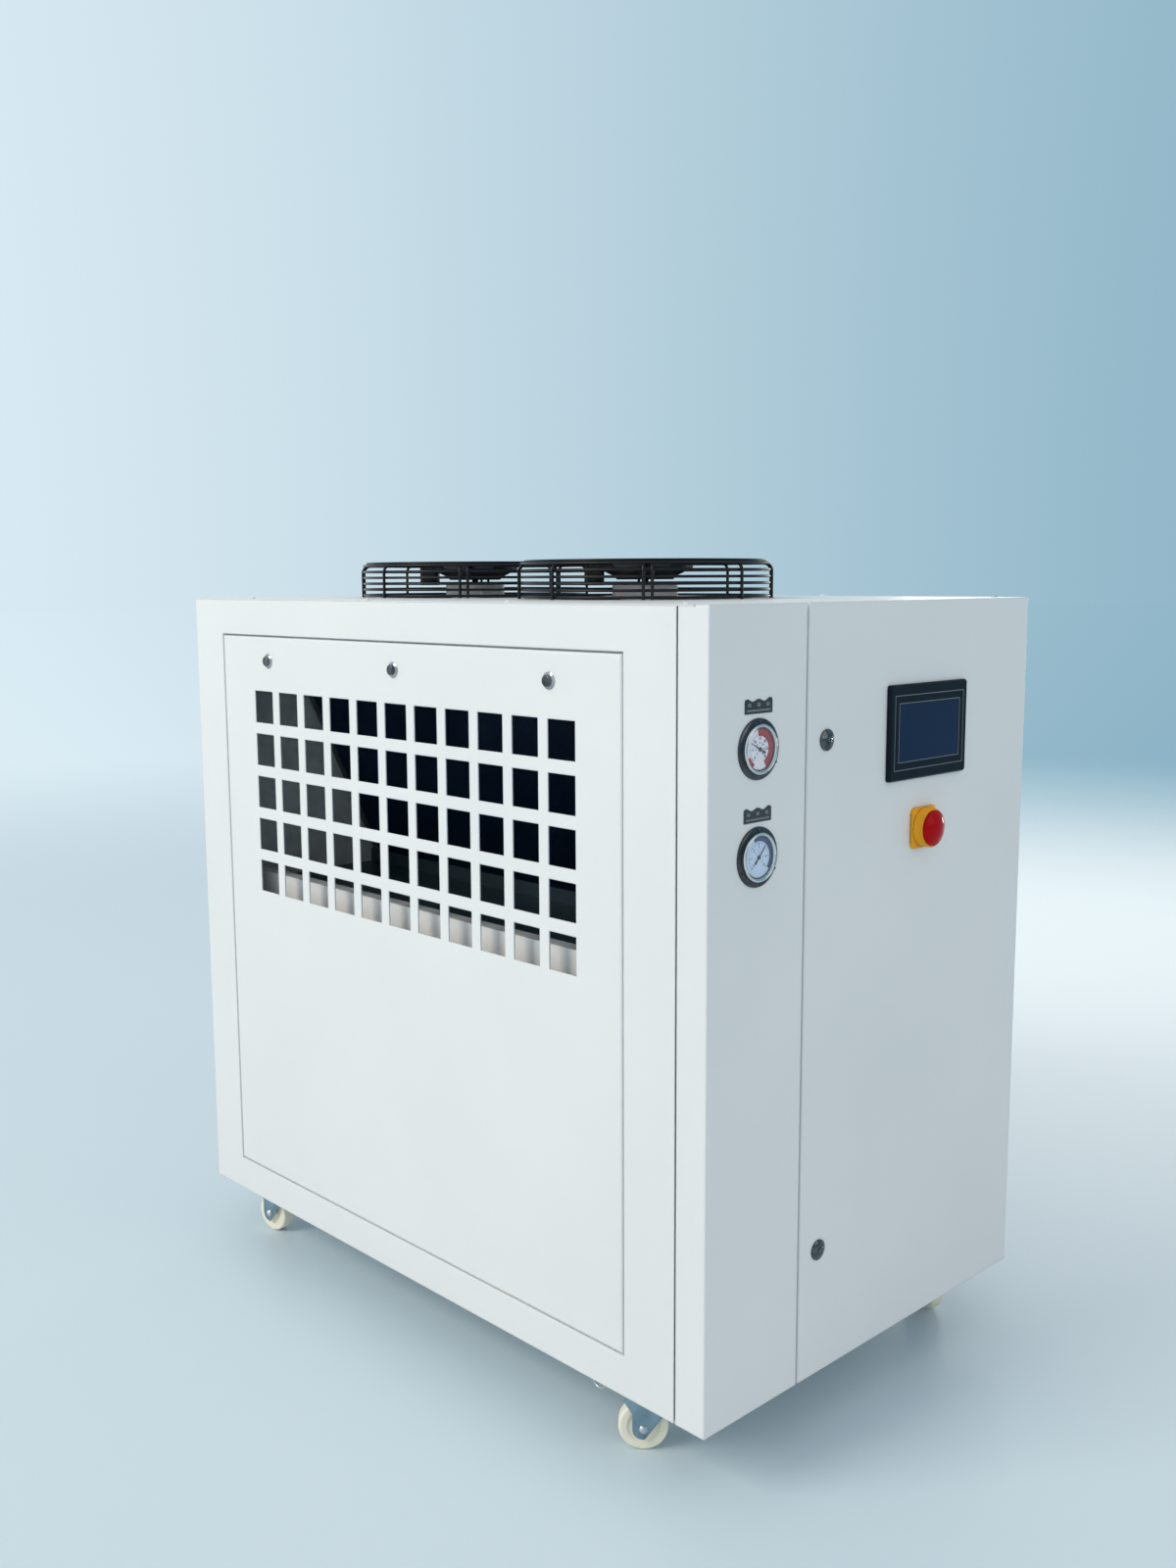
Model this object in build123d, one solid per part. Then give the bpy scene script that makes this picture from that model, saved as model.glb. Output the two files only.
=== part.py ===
from build123d import *
import os
from math import asin, cos, degrees, radians, sin

# An air-cooled water chiller in a sheet-metal cabinet on four castors.
# Millimetres. The origin is on the floor under the middle of the cabinet, +Z is up,
# the control face looks towards -Y and the two intake grilles towards -X and +X.

# Cabinet
cabinet_width = 800.0
cabinet_length = 1312.0
cabinet_height = 1160.0
castor_height = 101.0
sheet = 2.0
base_sheet = 4.0
seam = 3.0
door_seam = 5.0
fit_gap = 0.3
shaft_gap = 0.05
bend_radius = 2.5
fold_radius = 1.5

# Front: gauge panel on the left, door on the right, both folded pans
front_depth = 22.0
corner_strip = 56.0
gauge_panel_width = 208.0
mullion_width = 30.0
frame_side_margin = 35.0
frame_end_margin = 72.0

# Intake panels: folded pans, set flush in the side frames
panel_front_margin = 157.0
panel_rear_margin = 95.0
panel_bottom_margin = 62.0
panel_top_margin = 65.5
pan_depth = 12.0
pan_bend = 3.5
ledge_width = 14.0
hole_side = 58.5
hole_pitch_z = 79.1
hole_columns = 11
hole_rows = 5
hole_front_margin = 253.2
hole_rear_margin = 203.3
hole_top_margin = 167.3

# Key latches along the top edge of each intake panel
latch_count = 3
latch_rear_margin = 251.0
latch_pitch = 376.5
latch_drop = 46.5
latch_flange_radius = 13.0
latch_flange_rim = 1.0
latch_flange_dome = 2.0
latch_barrel_radius = 8.8
latch_rise = 7.0
latch_edge = 1.5
latch_slot_width = 2.0
latch_slot_length = 9.0
latch_slot_depth = 1.5

# Rear panel and its water connections
rear_panel_margin = 62.0
port_outer_radius = 16.75
port_bore_radius = 13.0
port_thread_step = 1.25
port_reach = 40.0
port_depth = 30.0
port_height = 190.0
port_spacing = 160.0
port_offset = 150.0
drain_radius = 10.5
drain_bore_radius = 7.0
drain_height = 101.0
nut_thickness = 8.0
nut_ratio = 1.45

# Condenser space above the shelf
front_bulkhead_setback = 203.0
rear_bulkhead_setback = 80.0
bulkhead_side_gap = 0.2
shelf_height = 612.0
rail_inset = 35.0
rail_width = 25.0
rail_drop = 30.0
rail_rise = 32.0
coil_thickness = 40.0
coil_slant = 540.0
coil_lean = 65.3
coil_foot_half_gap = 62.0
coil_foot_rise = 25.0
coil_end_gap = 26.0
tube_sheet_overlap = 7.0

# Electrical box behind the door
plate_thickness = 3.0
plate_margin = 25.0
plate_standoff = 15.0
standoff_radius = 5.0

# Fans
fan_spacing = 455.0
fan_rear_setback = 358.0
blade_tip_radius = 175.0
tip_clearance = 6.0
ring_height = 50.0
ring_flange = 24.0
ring_relief = 1.0
rotor_radius = 56.0
rotor_drop = 48.0
rotor_rise = 27.0
rotor_edge = 6.0
stator_radius = 48.0
stator_flange_radius = 82.0
stator_flange_thickness = 7.0
stator_clearance = 5.0
terminal_box = (34.0, 46.0, 36.0)
terminal_box_angle = 136.0
terminal_box_overlap = 12.0
fan_shaft_radius = 6.0
fan_shaft_grip = 24.0
blade_count = 5
blade_level = -22.0
blade_root_inset = 8.0
blade_thickness = 3.0
blade_camber = 9.0
hub_chord = 84.0
tip_chord = 132.0
hub_stagger = 34.0
tip_stagger = 19.0
blade_sweep = 22.0

# Wire guards over the fans
guard_radius = 216.0
guard_wire = 3.2
guard_foot_gap = 4.0
guard_height = 60.0
guard_wall_rings = 6
guard_top_rings = 6
guard_sides = 32
guard_pair_gap = 13.6
hub_plate_radius = 80.0
hub_plate_thickness = 4.0
weld_sink = 1.0

# Gauges
gauge_offset = 101.5
upper_gauge_height = 964.4
gauge_spacing = 148.8
gauge_flange_radius = 42.5
gauge_flange_thickness = 3.0
gauge_rim_radius = 35.5
gauge_rim_rise = 7.0
gauge_window_radius = 29.5
gauge_case_radius = 31.5
gauge_case_depth = 36.0
gauge_recess = 9.0
gauge_flange_edge = 1.2
gauge_rim_edge = 2.5
glass_set = 1.5
glass_thickness = 1.5
dial_thickness = 1.0
label_width = 58.0
label_height = 20.0
label_thickness = 0.8
label_gap = 6.0
label_lip = 1.0
label_dip = 4.0

# Operator panel, main switch and locks on the door
control_offset = 501.5
hmi_offset = 505.0
hmi_width = 208.0
hmi_height = 146.0
hmi_rise = 7.5
hmi_bevel = 2.5
hmi_centre_height = 961.5
hmi_side_border = 23.0
hmi_end_border = 29.0
hmi_corner = 5.0
hmi_recess = 1.5
hmi_glass_set = 0.3
hmi_back_inset = 9.0
hmi_back_depth = 32.0
switch_drop = 151.5
switch_side = 64.0
switch_corner = 9.0
switch_plate_thickness = 5.0
switch_bevel = 1.2
collar_radius = 30.5
collar_rise = 15.0
switch_neck_radius = 14.0
switch_neck_length = 5.0
switch_back_side = 44.0
switch_back_depth = 36.0
knob_radius = 28.0
knob_gap = 0.5
knob_rim = 3.0
knob_dome = 8.0
knob_shaft_radius = 4.0
knob_shaft_length = 16.0
upper_lock_height = 965.0
lower_lock_height = 197.3
lock_offset = 46.0
lock_flange_radius = 15.7
lock_flange_rim = 2.0
lock_flange_dome = 4.0
lock_body_radius = 9.5
lock_core_radius = 6.0
lock_core_rise = 0.6
key_slot_width = 2.0
key_slot_length = 8.0
key_slot_depth = 2.0
cam_length = 36.0
cam_width = 14.0
cam_thickness = 3.0
cam_gap = 0.5
cam_clearance = 5.0

# Door hinges on the right-hand side face
hinge_radius = 5.0
hinge_pin_radius = 2.5
hinge_leaf = 18.0
leaf_gap = 0.5
knuckle_gap = 0.2
hinge_height = 66.0
hinge_end_margin = 120.0

# Castors
castor_side_margin = 70.0
castor_end_margin = 140.0
castor_trail = 32.0
wheel_radius = 37.5
wheel_width = 25.0
wheel_edge = 4.0
wheel_recess = 2.0
tread_width = 12.5
hub_radius = 11.0
axle_radius = 4.0
bolt_radius = 6.5
bolt_rim = 1.5
bolt_dome = 3.0
leg_gap = 5.0
leg_thickness = 2.5
leg_bend = 2.0
leg_foot_radius = 16.5
leg_foot_cut = 95.0
fork_front = 22.0
fork_rear = 28.0
fork_skirt = 10.0
fork_waist = 24.0
crown_rim = 3.0
castor_plate_length = 90.0
castor_plate_width = 64.0
castor_plate_thickness = 3.5
castor_plate_corner = 6.0
race_height = 5.0
race_radius = 24.0
race_gap = 0.3
kingpin_radius = 5.0
kingpin_head = 3.0
castor_turn = {"front_left": 134.0, "front_right": 252.0, "rear_left": 98.0, "rear_right": 60.0}

# Places that follow from the sizes
base_z = castor_height
top_z = base_z + cabinet_height
half_w = cabinet_width / 2
half_l = cabinet_length / 2
front_y = -half_l
back_y = half_l
pan_back_y = front_y + front_depth
frame_y = pan_back_y + door_seam
frame_back_y = frame_y + sheet
door_left = -half_w + gauge_panel_width + door_seam / 2
gauge_right = -half_w + gauge_panel_width - door_seam / 2
opening_left = gauge_right + mullion_width
opening_right = half_w - frame_side_margin
opening_bottom = base_z + frame_end_margin
opening_top = top_z - frame_end_margin
strip_back_y = front_y + corner_strip
front_bulkhead_y = front_y + front_bulkhead_setback
rear_bulkhead_y = back_y - rear_bulkhead_setback
shelf_z = base_z + shelf_height
rail_outer = half_w - rail_inset
rail_inner = rail_outer - rail_width
rail_top = shelf_z + rail_rise
rail_bottom = shelf_z - rail_drop
ring_inner = blade_tip_radius + tip_clearance
fan_rear_y = back_y - fan_rear_setback
fan_front_y = fan_rear_y - fan_spacing
guard_top = guard_height + guard_wire / 2
hole_span = cabinet_length - hole_front_margin - hole_rear_margin - hole_side
hole_pitch_y = hole_span / (hole_columns - 1)
gauge_x = -half_w + gauge_offset
lower_gauge_height = upper_gauge_height - gauge_spacing
control_x = -half_w + control_offset
hmi_x = -half_w + hmi_offset
switch_height = hmi_centre_height - switch_drop
lock_x = door_left + lock_offset - door_seam / 2
lock_body_depth = frame_back_y + cam_clearance - front_y
box_left = lock_x - cam_length - 2 * cam_clearance
hinge_x = half_w + hinge_radius
hinge_y = pan_back_y + door_seam / 2
panel_y = (front_y + panel_front_margin, back_y - panel_rear_margin)
panel_z = (base_z + panel_bottom_margin, top_z - panel_top_margin)
rear_panel_x = (-half_w + rear_panel_margin, half_w - rear_panel_margin)
rim_depth = pan_depth + sheet
bulkhead_half = half_w - rim_depth - bulkhead_side_gap
crown_high = base_z - castor_plate_thickness - race_height - race_gap
crown_low = crown_high - leg_thickness


def slab(x, y, z):
    """A box between two corners, given as three (low, high) pairs."""
    size = [b - a for a, b in (x, y, z)]
    return Pos((x[0] + x[1]) / 2, (y[0] + y[1]) / 2, (z[0] + z[1]) / 2) * Box(*size)


def rod_z(radius, x, y, z):
    """A cylinder along Z between two heights."""
    return Pos(x, y, (z[0] + z[1]) / 2) * Cylinder(radius, z[1] - z[0])


def rod_y(radius, x, z, y):
    """A cylinder along Y between two depths."""
    return Pos(x, (y[0] + y[1]) / 2, z) * Rot(90, 0, 0) * Cylinder(radius, y[1] - y[0])


def fuse(parts):
    """One solid from several that touch or overlap."""
    whole = parts[0]
    for piece in parts[1:]:
        whole = whole + piece
    return whole


def grown(span, by):
    """A (low, high) pair moved outwards at both ends, or inwards where negative."""
    return (span[0] - by, span[1] + by)


def dome(radius, rim, rise):
    """A disc with a low spherical top, standing on Z = 0."""
    ball = (radius ** 2 + rise ** 2) / (2 * rise)
    height = rim + rise
    return rod_z(radius, 0, 0, (0, height)) & (Pos(0, 0, height - ball) * Sphere(ball))


def write(node, shape):
    """Writes one node's STEP file."""
    export_step(shape, f"parts/{node}.step")


def together(shapes):
    """Several solids of one node that do not touch."""
    return Compound(children=[s for shape in shapes for s in shape.solids()])


def base_plate():
    """Floor of the cabinet, let in between the side frames."""
    return slab((-half_w + sheet, half_w - sheet), (frame_y, back_y - sheet), (base_z, base_z + base_sheet))


def framed_sheet(skin_x, y, z, opening_y, opening_z, depth):
    """Sheet facing -X with a flush opening: a folded return round it and a ledge at the given depth."""
    deep = skin_x + depth + sheet
    rim = slab((skin_x, deep), grown(opening_y, sheet), grown(opening_z, sheet))
    pocket = slab((skin_x - 1, deep - sheet), opening_y, opening_z)
    mouth = slab((skin_x - 1, deep + 1), grown(opening_y, -ledge_width), grown(opening_z, -ledge_width))
    frame = slab((skin_x, skin_x + sheet), y, z) + rim - pocket - mouth
    skin = frame.faces().sort_by(Axis.X)[0]
    return fillet(skin.inner_wires()[0].edges(), fold_radius)


def folded_pan(skin_x, y, z):
    """Sheet pan facing -X, its four returns folded back over rounded bends."""
    pan = slab((skin_x, skin_x + pan_depth), y, z)
    pan = fillet(pan.faces().sort_by(Axis.X)[0].edges(), pan_bend)
    inside = slab((skin_x + sheet, skin_x + pan_depth + 1), grown(y, -sheet), grown(z, -sheet))
    return pan - fillet(inside.faces().sort_by(Axis.X)[0].edges(), pan_bend - sheet)


def side_frame():
    """Left side sheet with its flush panel opening and the ledge that the panel stands on."""
    y = (strip_back_y + seam / 2, back_y)
    return framed_sheet(-half_w, y, (base_z, top_z - sheet), panel_y, panel_z, pan_depth)


def hole_centres():
    """Centres (y, z) of the air holes in an intake panel, rear column and top row first."""
    y0 = back_y - hole_rear_margin - hole_side / 2
    z0 = top_z - hole_top_margin - hole_side / 2
    return [(y0 - i * hole_pitch_y, z0 - j * hole_pitch_z) for j in range(hole_rows) for i in range(hole_columns)]


def intake_panel():
    """Left intake panel: a pan with a field of square air holes."""
    panel = folded_pan(-half_w, grown(panel_y, -seam), grown(panel_z, -seam))
    places = Locations(*[Pos(-half_w + sheet / 2, hy, hz) for hy, hz in hole_centres()])
    with BuildPart() as cutter:
        with places:
            Box(3 * sheet, hole_side, hole_side)
    return panel - cutter.part


def panel_latches():
    """Key latches of the left intake panel: a low domed flange and a short slotted barrel."""
    barrel = rod_z(latch_barrel_radius, 0, 0, (0, latch_rise))
    barrel = fillet(barrel.edges().filter_by(GeomType.CIRCLE).group_by(Axis.Z)[-1], latch_edge)
    half_length, half_width = latch_slot_length / 2, latch_slot_width / 2
    slot = slab((-half_length, half_length), (-half_width, half_width), (latch_rise - latch_slot_depth, latch_rise + 1))
    latch = dome(latch_flange_radius, latch_flange_rim, latch_flange_dome) + barrel - slot
    first_y = back_y - latch_rear_margin
    z = panel_z[1] - latch_drop
    return [Pos(-half_w, first_y - i * latch_pitch, z) * Rot(0, -90, 0) * latch for i in range(latch_count)]


def rear_frame():
    """Rear sheet with a flush opening, its ledge straight behind the flat panel."""
    x, z = grown((-half_w, half_w), -sheet), (base_z, top_z - sheet)
    return Rot(0, 0, -90) * framed_sheet(-half_l, x, z, rear_panel_x, panel_z, sheet)


def port_places():
    """Name, x, z, outer and bore radius of each water connection."""
    return [("inlet", port_offset, base_z + port_height + port_spacing, port_outer_radius, port_bore_radius),
            ("outlet", port_offset, base_z + port_height, port_outer_radius, port_bore_radius),
            ("drain", port_offset, base_z + drain_height, drain_radius, drain_bore_radius)]


def rear_panel():
    """Flat removable rear panel with rounded edges, bored for the water connections."""
    panel = slab(grown(rear_panel_x, -seam), (back_y - sheet, back_y), grown(panel_z, -seam))
    panel = fillet(panel.faces().sort_by(Axis.Y)[-1].edges(), fold_radius)
    for _, px, pz, outer, _ in port_places():
        thread = outer - port_thread_step
        panel -= rod_y(thread + fit_gap, px, pz, (back_y - 2 * sheet, back_y + sheet))
    return panel


def water_port(px, pz, outer, bore):
    """Pipe stub screwed through the rear panel, with a nut on each side of the sheet."""
    stub = rod_y(outer, px, pz, (back_y, back_y + port_reach))
    thread = rod_y(outer - port_thread_step, px, pz, (back_y - port_depth, back_y))
    nut = extrude(RegularPolygon(outer * nut_ratio, 6), nut_thickness)
    nuts = [Pos(px, y, pz) * Rot(-90, 0, 0) * nut for y in (back_y - sheet - nut_thickness, back_y)]
    through = (back_y - port_depth - 1, back_y + port_reach + 1)
    return fuse([stub, thread] + nuts) - rod_y(bore, px, pz, through)


def top_panel():
    """Top sheet with the two fan openings."""
    top = slab((-half_w, half_w), (frame_y, back_y), (top_z - sheet, top_z))
    for y in (fan_front_y, fan_rear_y):
        top -= rod_z(ring_inner + sheet + ring_relief, 0, y, (top_z - 2 * sheet, top_z + sheet))
    return top


def gauge_panel():
    """Folded panel round the front left corner, holed for the two gauges."""
    z = (base_z, top_z)
    front = slab((-half_w, gauge_right), (front_y, front_y + sheet), z)
    side = slab((-half_w, -half_w + sheet), (front_y, strip_back_y - seam / 2), z)
    side -= slab((-half_w - 1, -half_w + sheet + 1), (frame_y - seam, back_y), (top_z - sheet, top_z + 1))
    inner = slab((gauge_right - sheet, gauge_right), (front_y, frame_y), z)
    cap = slab((-half_w, gauge_right), (front_y, frame_y - seam), (top_z - sheet, top_z))
    foot = slab((-half_w, gauge_right), (front_y, frame_y - seam), (base_z, base_z + sheet))
    panel = fuse([front, side, inner, cap, foot])
    corner = panel.edges().filter_by(Axis.Z).sort_by_distance((-half_w, front_y, base_z))[0]
    panel = fillet(corner, bend_radius)
    for height in (upper_gauge_height, lower_gauge_height):
        panel -= rod_y(gauge_case_radius + fit_gap, gauge_x, base_z + height, (front_y - 1, front_y + 2 * sheet))
    return panel


def front_frame():
    """Frame behind the door and gauge panel, with the door's mullion and the right corner return."""
    z = (base_z + base_sheet, top_z - sheet)
    y = (frame_y, frame_back_y)
    frame = slab((-half_w + sheet, half_w), y, z)
    frame -= slab((opening_left, opening_right), y, (opening_bottom, opening_top))
    frame += slab((half_w - sheet, half_w), (frame_y, strip_back_y - seam / 2), z)
    for height in (upper_gauge_height, lower_gauge_height):
        frame -= rod_y(gauge_case_radius + 5 * fit_gap, gauge_x, base_z + height, (frame_y - 1, frame_back_y + 1))
    return frame


def electrical_box():
    """Open-fronted steel box behind the door opening."""
    y = (frame_back_y, front_bulkhead_y)
    z = (opening_bottom, opening_top)
    shell = slab((box_left - sheet, opening_right + sheet), y, (z[0] - sheet, z[1] + sheet))
    return shell - slab((box_left, opening_right), (y[0], y[1] - sheet), z)


def mounting_plate():
    """Bare equipment plate on four stand-offs."""
    back = front_bulkhead_y - sheet
    x = (box_left + plate_margin, opening_right - plate_margin)
    z = (opening_bottom + plate_margin, opening_top - plate_margin)
    plate = slab(x, (back - plate_standoff - plate_thickness, back - plate_standoff), z)
    posts = [rod_y(standoff_radius, px, pz, (back - plate_standoff, back))
             for px in (x[0] + plate_margin, x[1] - plate_margin)
             for pz in (z[0] + plate_margin, z[1] - plate_margin)]
    return fuse([plate] + posts)


def bulkhead(y):
    """Full-height steel cross wall of the machine space."""
    return slab((-bulkhead_half, bulkhead_half), (y, y + sheet), (base_z + base_sheet, top_z - sheet))


def condenser_shelf():
    """Shelf between the two side rails, under the coils."""
    return slab((-rail_inner, rail_inner), (front_bulkhead_y + sheet, rear_bulkhead_y), (shelf_z - sheet, shelf_z))


def shelf_rails():
    """Two hollow rails behind the lowest row of air holes."""
    y = (front_bulkhead_y + sheet, rear_bulkhead_y)
    rails = []
    for low, high in ((-rail_outer, -rail_inner), (rail_inner, rail_outer)):
        rail = slab((low, high), y, (rail_bottom, rail_top))
        rails.append(rail - slab((low + sheet, high - sheet), y, (rail_bottom + sheet, rail_top - sheet)))
    return together(rails)


def coil_cradle():
    """Folded seat on the shelf that takes the feet of both coils."""
    step_x = coil_thickness * sin(radians(coil_lean))
    step_z = coil_thickness * cos(radians(coil_lean))
    half, rise = coil_foot_half_gap, coil_foot_rise
    points = [(-half, 0), (half, 0), (half, rise), (half - step_x, rise + step_z),
              (step_x - half, rise + step_z), (-half, rise)]
    profile = Plane((0, front_bulkhead_y + sheet, shelf_z), x_dir=(1, 0, 0), z_dir=(0, -1, 0)) * Polygon(
        *points, align=None)
    return extrude(profile, rear_bulkhead_y - front_bulkhead_y - sheet, dir=(0, 1, 0))


def coil():
    """Left condenser coil: fin block between two tube sheets, leaning out from the cradle."""
    y = (front_bulkhead_y + sheet + coil_end_gap, rear_bulkhead_y - coil_end_gap)
    core = slab((0, coil_thickness), y, (0, coil_slant))
    ends = [slab((-tube_sheet_overlap, coil_thickness + tube_sheet_overlap), (a, a + sheet), (0, coil_slant))
            for a in (y[0] - sheet, y[1])]
    block = fuse([core] + ends)
    place = Pos(-coil_foot_half_gap, 0, shelf_z + coil_foot_rise) * Rot(0, coil_lean - 90, 0)
    return place * block


def fan_ring(y):
    """Spun ring round the blade tips, hung under the top sheet."""
    wall = (top_z - sheet - ring_height, top_z)
    flange = (top_z - 2 * sheet, top_z - sheet)
    ring = rod_z(ring_inner + sheet, 0, y, wall) + rod_z(ring_inner + ring_flange, 0, y, flange)
    return ring - rod_z(ring_inner, 0, y, (wall[0] - 1, wall[1] + 1))


def wire_ring(radius, z):
    """One ring of the guard, as a many-sided square wire."""
    step = guard_wire / cos(radians(180 / guard_sides))
    ring = RegularPolygon(radius + step / 2, guard_sides) - RegularPolygon(radius - step / 2, guard_sides)
    return Pos(0, 0, z - guard_wire / 2) * extrude(ring, guard_wire)


def guard_wire_angles():
    """Angles of the bent wires: singles on the axes, pairs on the diagonals."""
    spread = degrees(asin(guard_pair_gap / 2 / guard_radius))
    angles = [0, 90, 180, 270]
    for diagonal in (45, 135, 225, 315):
        angles += [diagonal - spread, diagonal + spread]
    return angles


def fan_guard(y):
    """Round wire cage with its centre plate, which carries the motor."""
    wall_step = (guard_height - guard_foot_gap) / (guard_wall_rings - 1)
    rings = [wire_ring(guard_radius - guard_wire / 2, guard_foot_gap + i * wall_step)
             for i in range(guard_wall_rings)]
    top_step = (guard_radius - hub_plate_radius) / (guard_top_rings + 1)
    rings += [wire_ring(guard_radius - (i + 1) * top_step, guard_height + guard_wire - weld_sink)
              for i in range(guard_top_rings)]
    half = guard_wire / 2
    bars = []
    for angle in guard_wire_angles():
        post = slab((guard_radius - half, guard_radius + half), (-half, half), (0, guard_top))
        spoke = slab((stator_radius, guard_radius + half), (-half, half), (guard_height - half, guard_top))
        bars.append(Rot(0, 0, angle) * (post + spoke))
    plate = rod_z(hub_plate_radius, 0, 0, (guard_top - weld_sink, guard_top + hub_plate_thickness))
    return Pos(0, y, top_z) * fuse([plate] + bars + rings)


def fan_motor(y):
    """Fixed half of the external-rotor motor under the guard's spokes: flange, shaft and terminal box."""
    top = guard_height - guard_wire / 2
    low = rotor_rise + stator_clearance
    flange_low = top - stator_flange_thickness
    profile = Plane.XZ * Polygon((0, low), (stator_radius, low), (stator_radius + rotor_edge, low + rotor_edge),
                                 (stator_flange_radius, flange_low), (stator_flange_radius, top), (0, top),
                                 align=None)
    stator = revolve(profile, Axis.Z)
    shaft = rod_z(fan_shaft_radius, 0, 0, (rotor_rise - fan_shaft_grip, low))
    width, length, height = terminal_box
    box_x = (stator_flange_radius - terminal_box_overlap, stator_flange_radius - terminal_box_overlap + width)
    box = slab(box_x, (-length / 2, length / 2), (top - height, top))
    box = fillet(box.edges().filter_by(Axis.Z), rotor_edge)
    return Pos(0, y, top_z) * fuse([stator, shaft, Rot(0, 0, terminal_box_angle) * box])


def blade_section(radius, share):
    """One cambered blade section on a plane square to the radius."""
    chord = hub_chord + (tip_chord - hub_chord) * share
    stagger = radians(hub_stagger + (tip_stagger - hub_stagger) * share)
    turn = blade_sweep * share ** 1.5
    half = blade_thickness / 2
    ends = (-chord / 2, chord / 2)
    outline = [Line((ends[0], -half), (ends[0], half)),
               ThreePointArc((ends[0], half), (0, blade_camber + half), (ends[1], half)),
               Line((ends[1], half), (ends[1], -half)),
               ThreePointArc((ends[1], -half), (0, blade_camber - half), (ends[0], -half))]
    face = make_face(Wire(outline))
    angle = radians(turn)
    plane = Plane((radius * cos(angle), radius * sin(angle), 0),
                  x_dir=(-sin(angle) * cos(stagger), cos(angle) * cos(stagger), sin(stagger)),
                  z_dir=(cos(angle), sin(angle), 0))
    return plane * face


def fan_rotor(y):
    """Rotor can with swept, twisted blades, bored for the motor's shaft."""
    root = rotor_radius - blade_root_inset
    radii = [root + (blade_tip_radius + tip_clearance - root) * i / 3 for i in range(4)]
    blade = loft([blade_section(r, i / 3) for i, r in enumerate(radii)])
    blade &= rod_z(blade_tip_radius, 0, 0, (-guard_radius / 2, guard_radius / 2))
    blade = Pos(0, 0, blade_level) * blade
    can = rod_z(rotor_radius, 0, 0, (-rotor_drop, rotor_rise))
    rim = can.edges().filter_by(GeomType.CIRCLE).group_by(Axis.Z)
    can = fillet(rim[0] + rim[-1], rotor_edge)
    rotor = fuse([can] + [Rot(0, 0, i * 360 / blade_count) * blade for i in range(blade_count)])
    bore = rod_z(fan_shaft_radius + shaft_gap, 0, 0, (rotor_rise - fan_shaft_grip - 1, rotor_rise + 1))
    return Pos(0, y, top_z) * (rotor - bore)


def door():
    """Folded door pan, cut for the operator panel, the switch and the two locks."""
    y = (front_y, pan_back_y)
    pan = slab((door_left, half_w), y, (base_z, top_z))
    corners = pan.edges().filter_by(Axis.Z).group_by(Axis.Y)[0]
    pan = fillet(corners, bend_radius)
    pan -= slab((door_left + sheet, half_w - sheet), (front_y + sheet, pan_back_y + 1),
                (base_z + sheet, top_z - sheet))
    through = (front_y - 1, front_y + 2 * sheet)
    cut_x = hmi_width / 2 - hmi_back_inset + fit_gap
    cut_z = hmi_height / 2 - hmi_back_inset + fit_gap
    hmi_z = base_z + hmi_centre_height
    pan -= slab((hmi_x - cut_x, hmi_x + cut_x), through, (hmi_z - cut_z, hmi_z + cut_z))
    pan -= rod_y(switch_neck_radius + fit_gap, control_x, base_z + switch_height, through)
    for height in (upper_lock_height, lower_lock_height):
        pan -= rod_y(lock_body_radius + fit_gap, lock_x, base_z + height, through)
    return pan


def hinge_heights():
    """Lowest point of each of the three door hinges."""
    low = base_z + hinge_end_margin
    high = top_z - hinge_end_margin - hinge_height
    return [low, (low + high) / 2, high]


def door_hinge_leaves():
    """Door leaf of each hinge, with the middle knuckle."""
    leaves = []
    for z in hinge_heights():
        third = hinge_height / 3
        knuckle_z = (z + third + knuckle_gap, z + 2 * third - knuckle_gap)
        leaf_end = hinge_y - hinge_radius - leaf_gap
        leaf = slab((half_w, half_w + sheet), (hinge_y - hinge_leaf, leaf_end), (z, z + hinge_height))
        tongue = slab((half_w, half_w + sheet), (leaf_end, hinge_y), knuckle_z)
        knuckle = rod_z(hinge_radius, hinge_x, hinge_y, knuckle_z)
        bore = rod_z(hinge_pin_radius + shaft_gap, hinge_x, hinge_y, (z - 1, z + hinge_height + 1))
        leaves.append(fuse([leaf, tongue, knuckle]) - bore)
    return together(leaves)


def frame_hinge_leaves():
    """Cabinet leaf of each hinge, with the outer knuckles and the pin."""
    leaves = []
    for z in hinge_heights():
        third = hinge_height / 3
        leaf_start = hinge_y + hinge_radius + leaf_gap
        leaf = slab((half_w, half_w + sheet), (leaf_start, hinge_y + hinge_leaf), (z, z + hinge_height))
        pieces = [leaf, rod_z(hinge_pin_radius, hinge_x, hinge_y, (z, z + hinge_height))]
        for low, high in ((z, z + third), (z + 2 * third, z + hinge_height)):
            pieces.append(slab((half_w, half_w + sheet), (hinge_y, leaf_start), (low, high)))
            pieces.append(rod_z(hinge_radius, hinge_x, hinge_y, (low, high)))
        leaves.append(fuse(pieces))
    return together(leaves)


def hmi_window():
    """Half width and half height of the operator panel's screen."""
    return hmi_width / 2 - hmi_side_border, hmi_height / 2 - hmi_end_border


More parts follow.
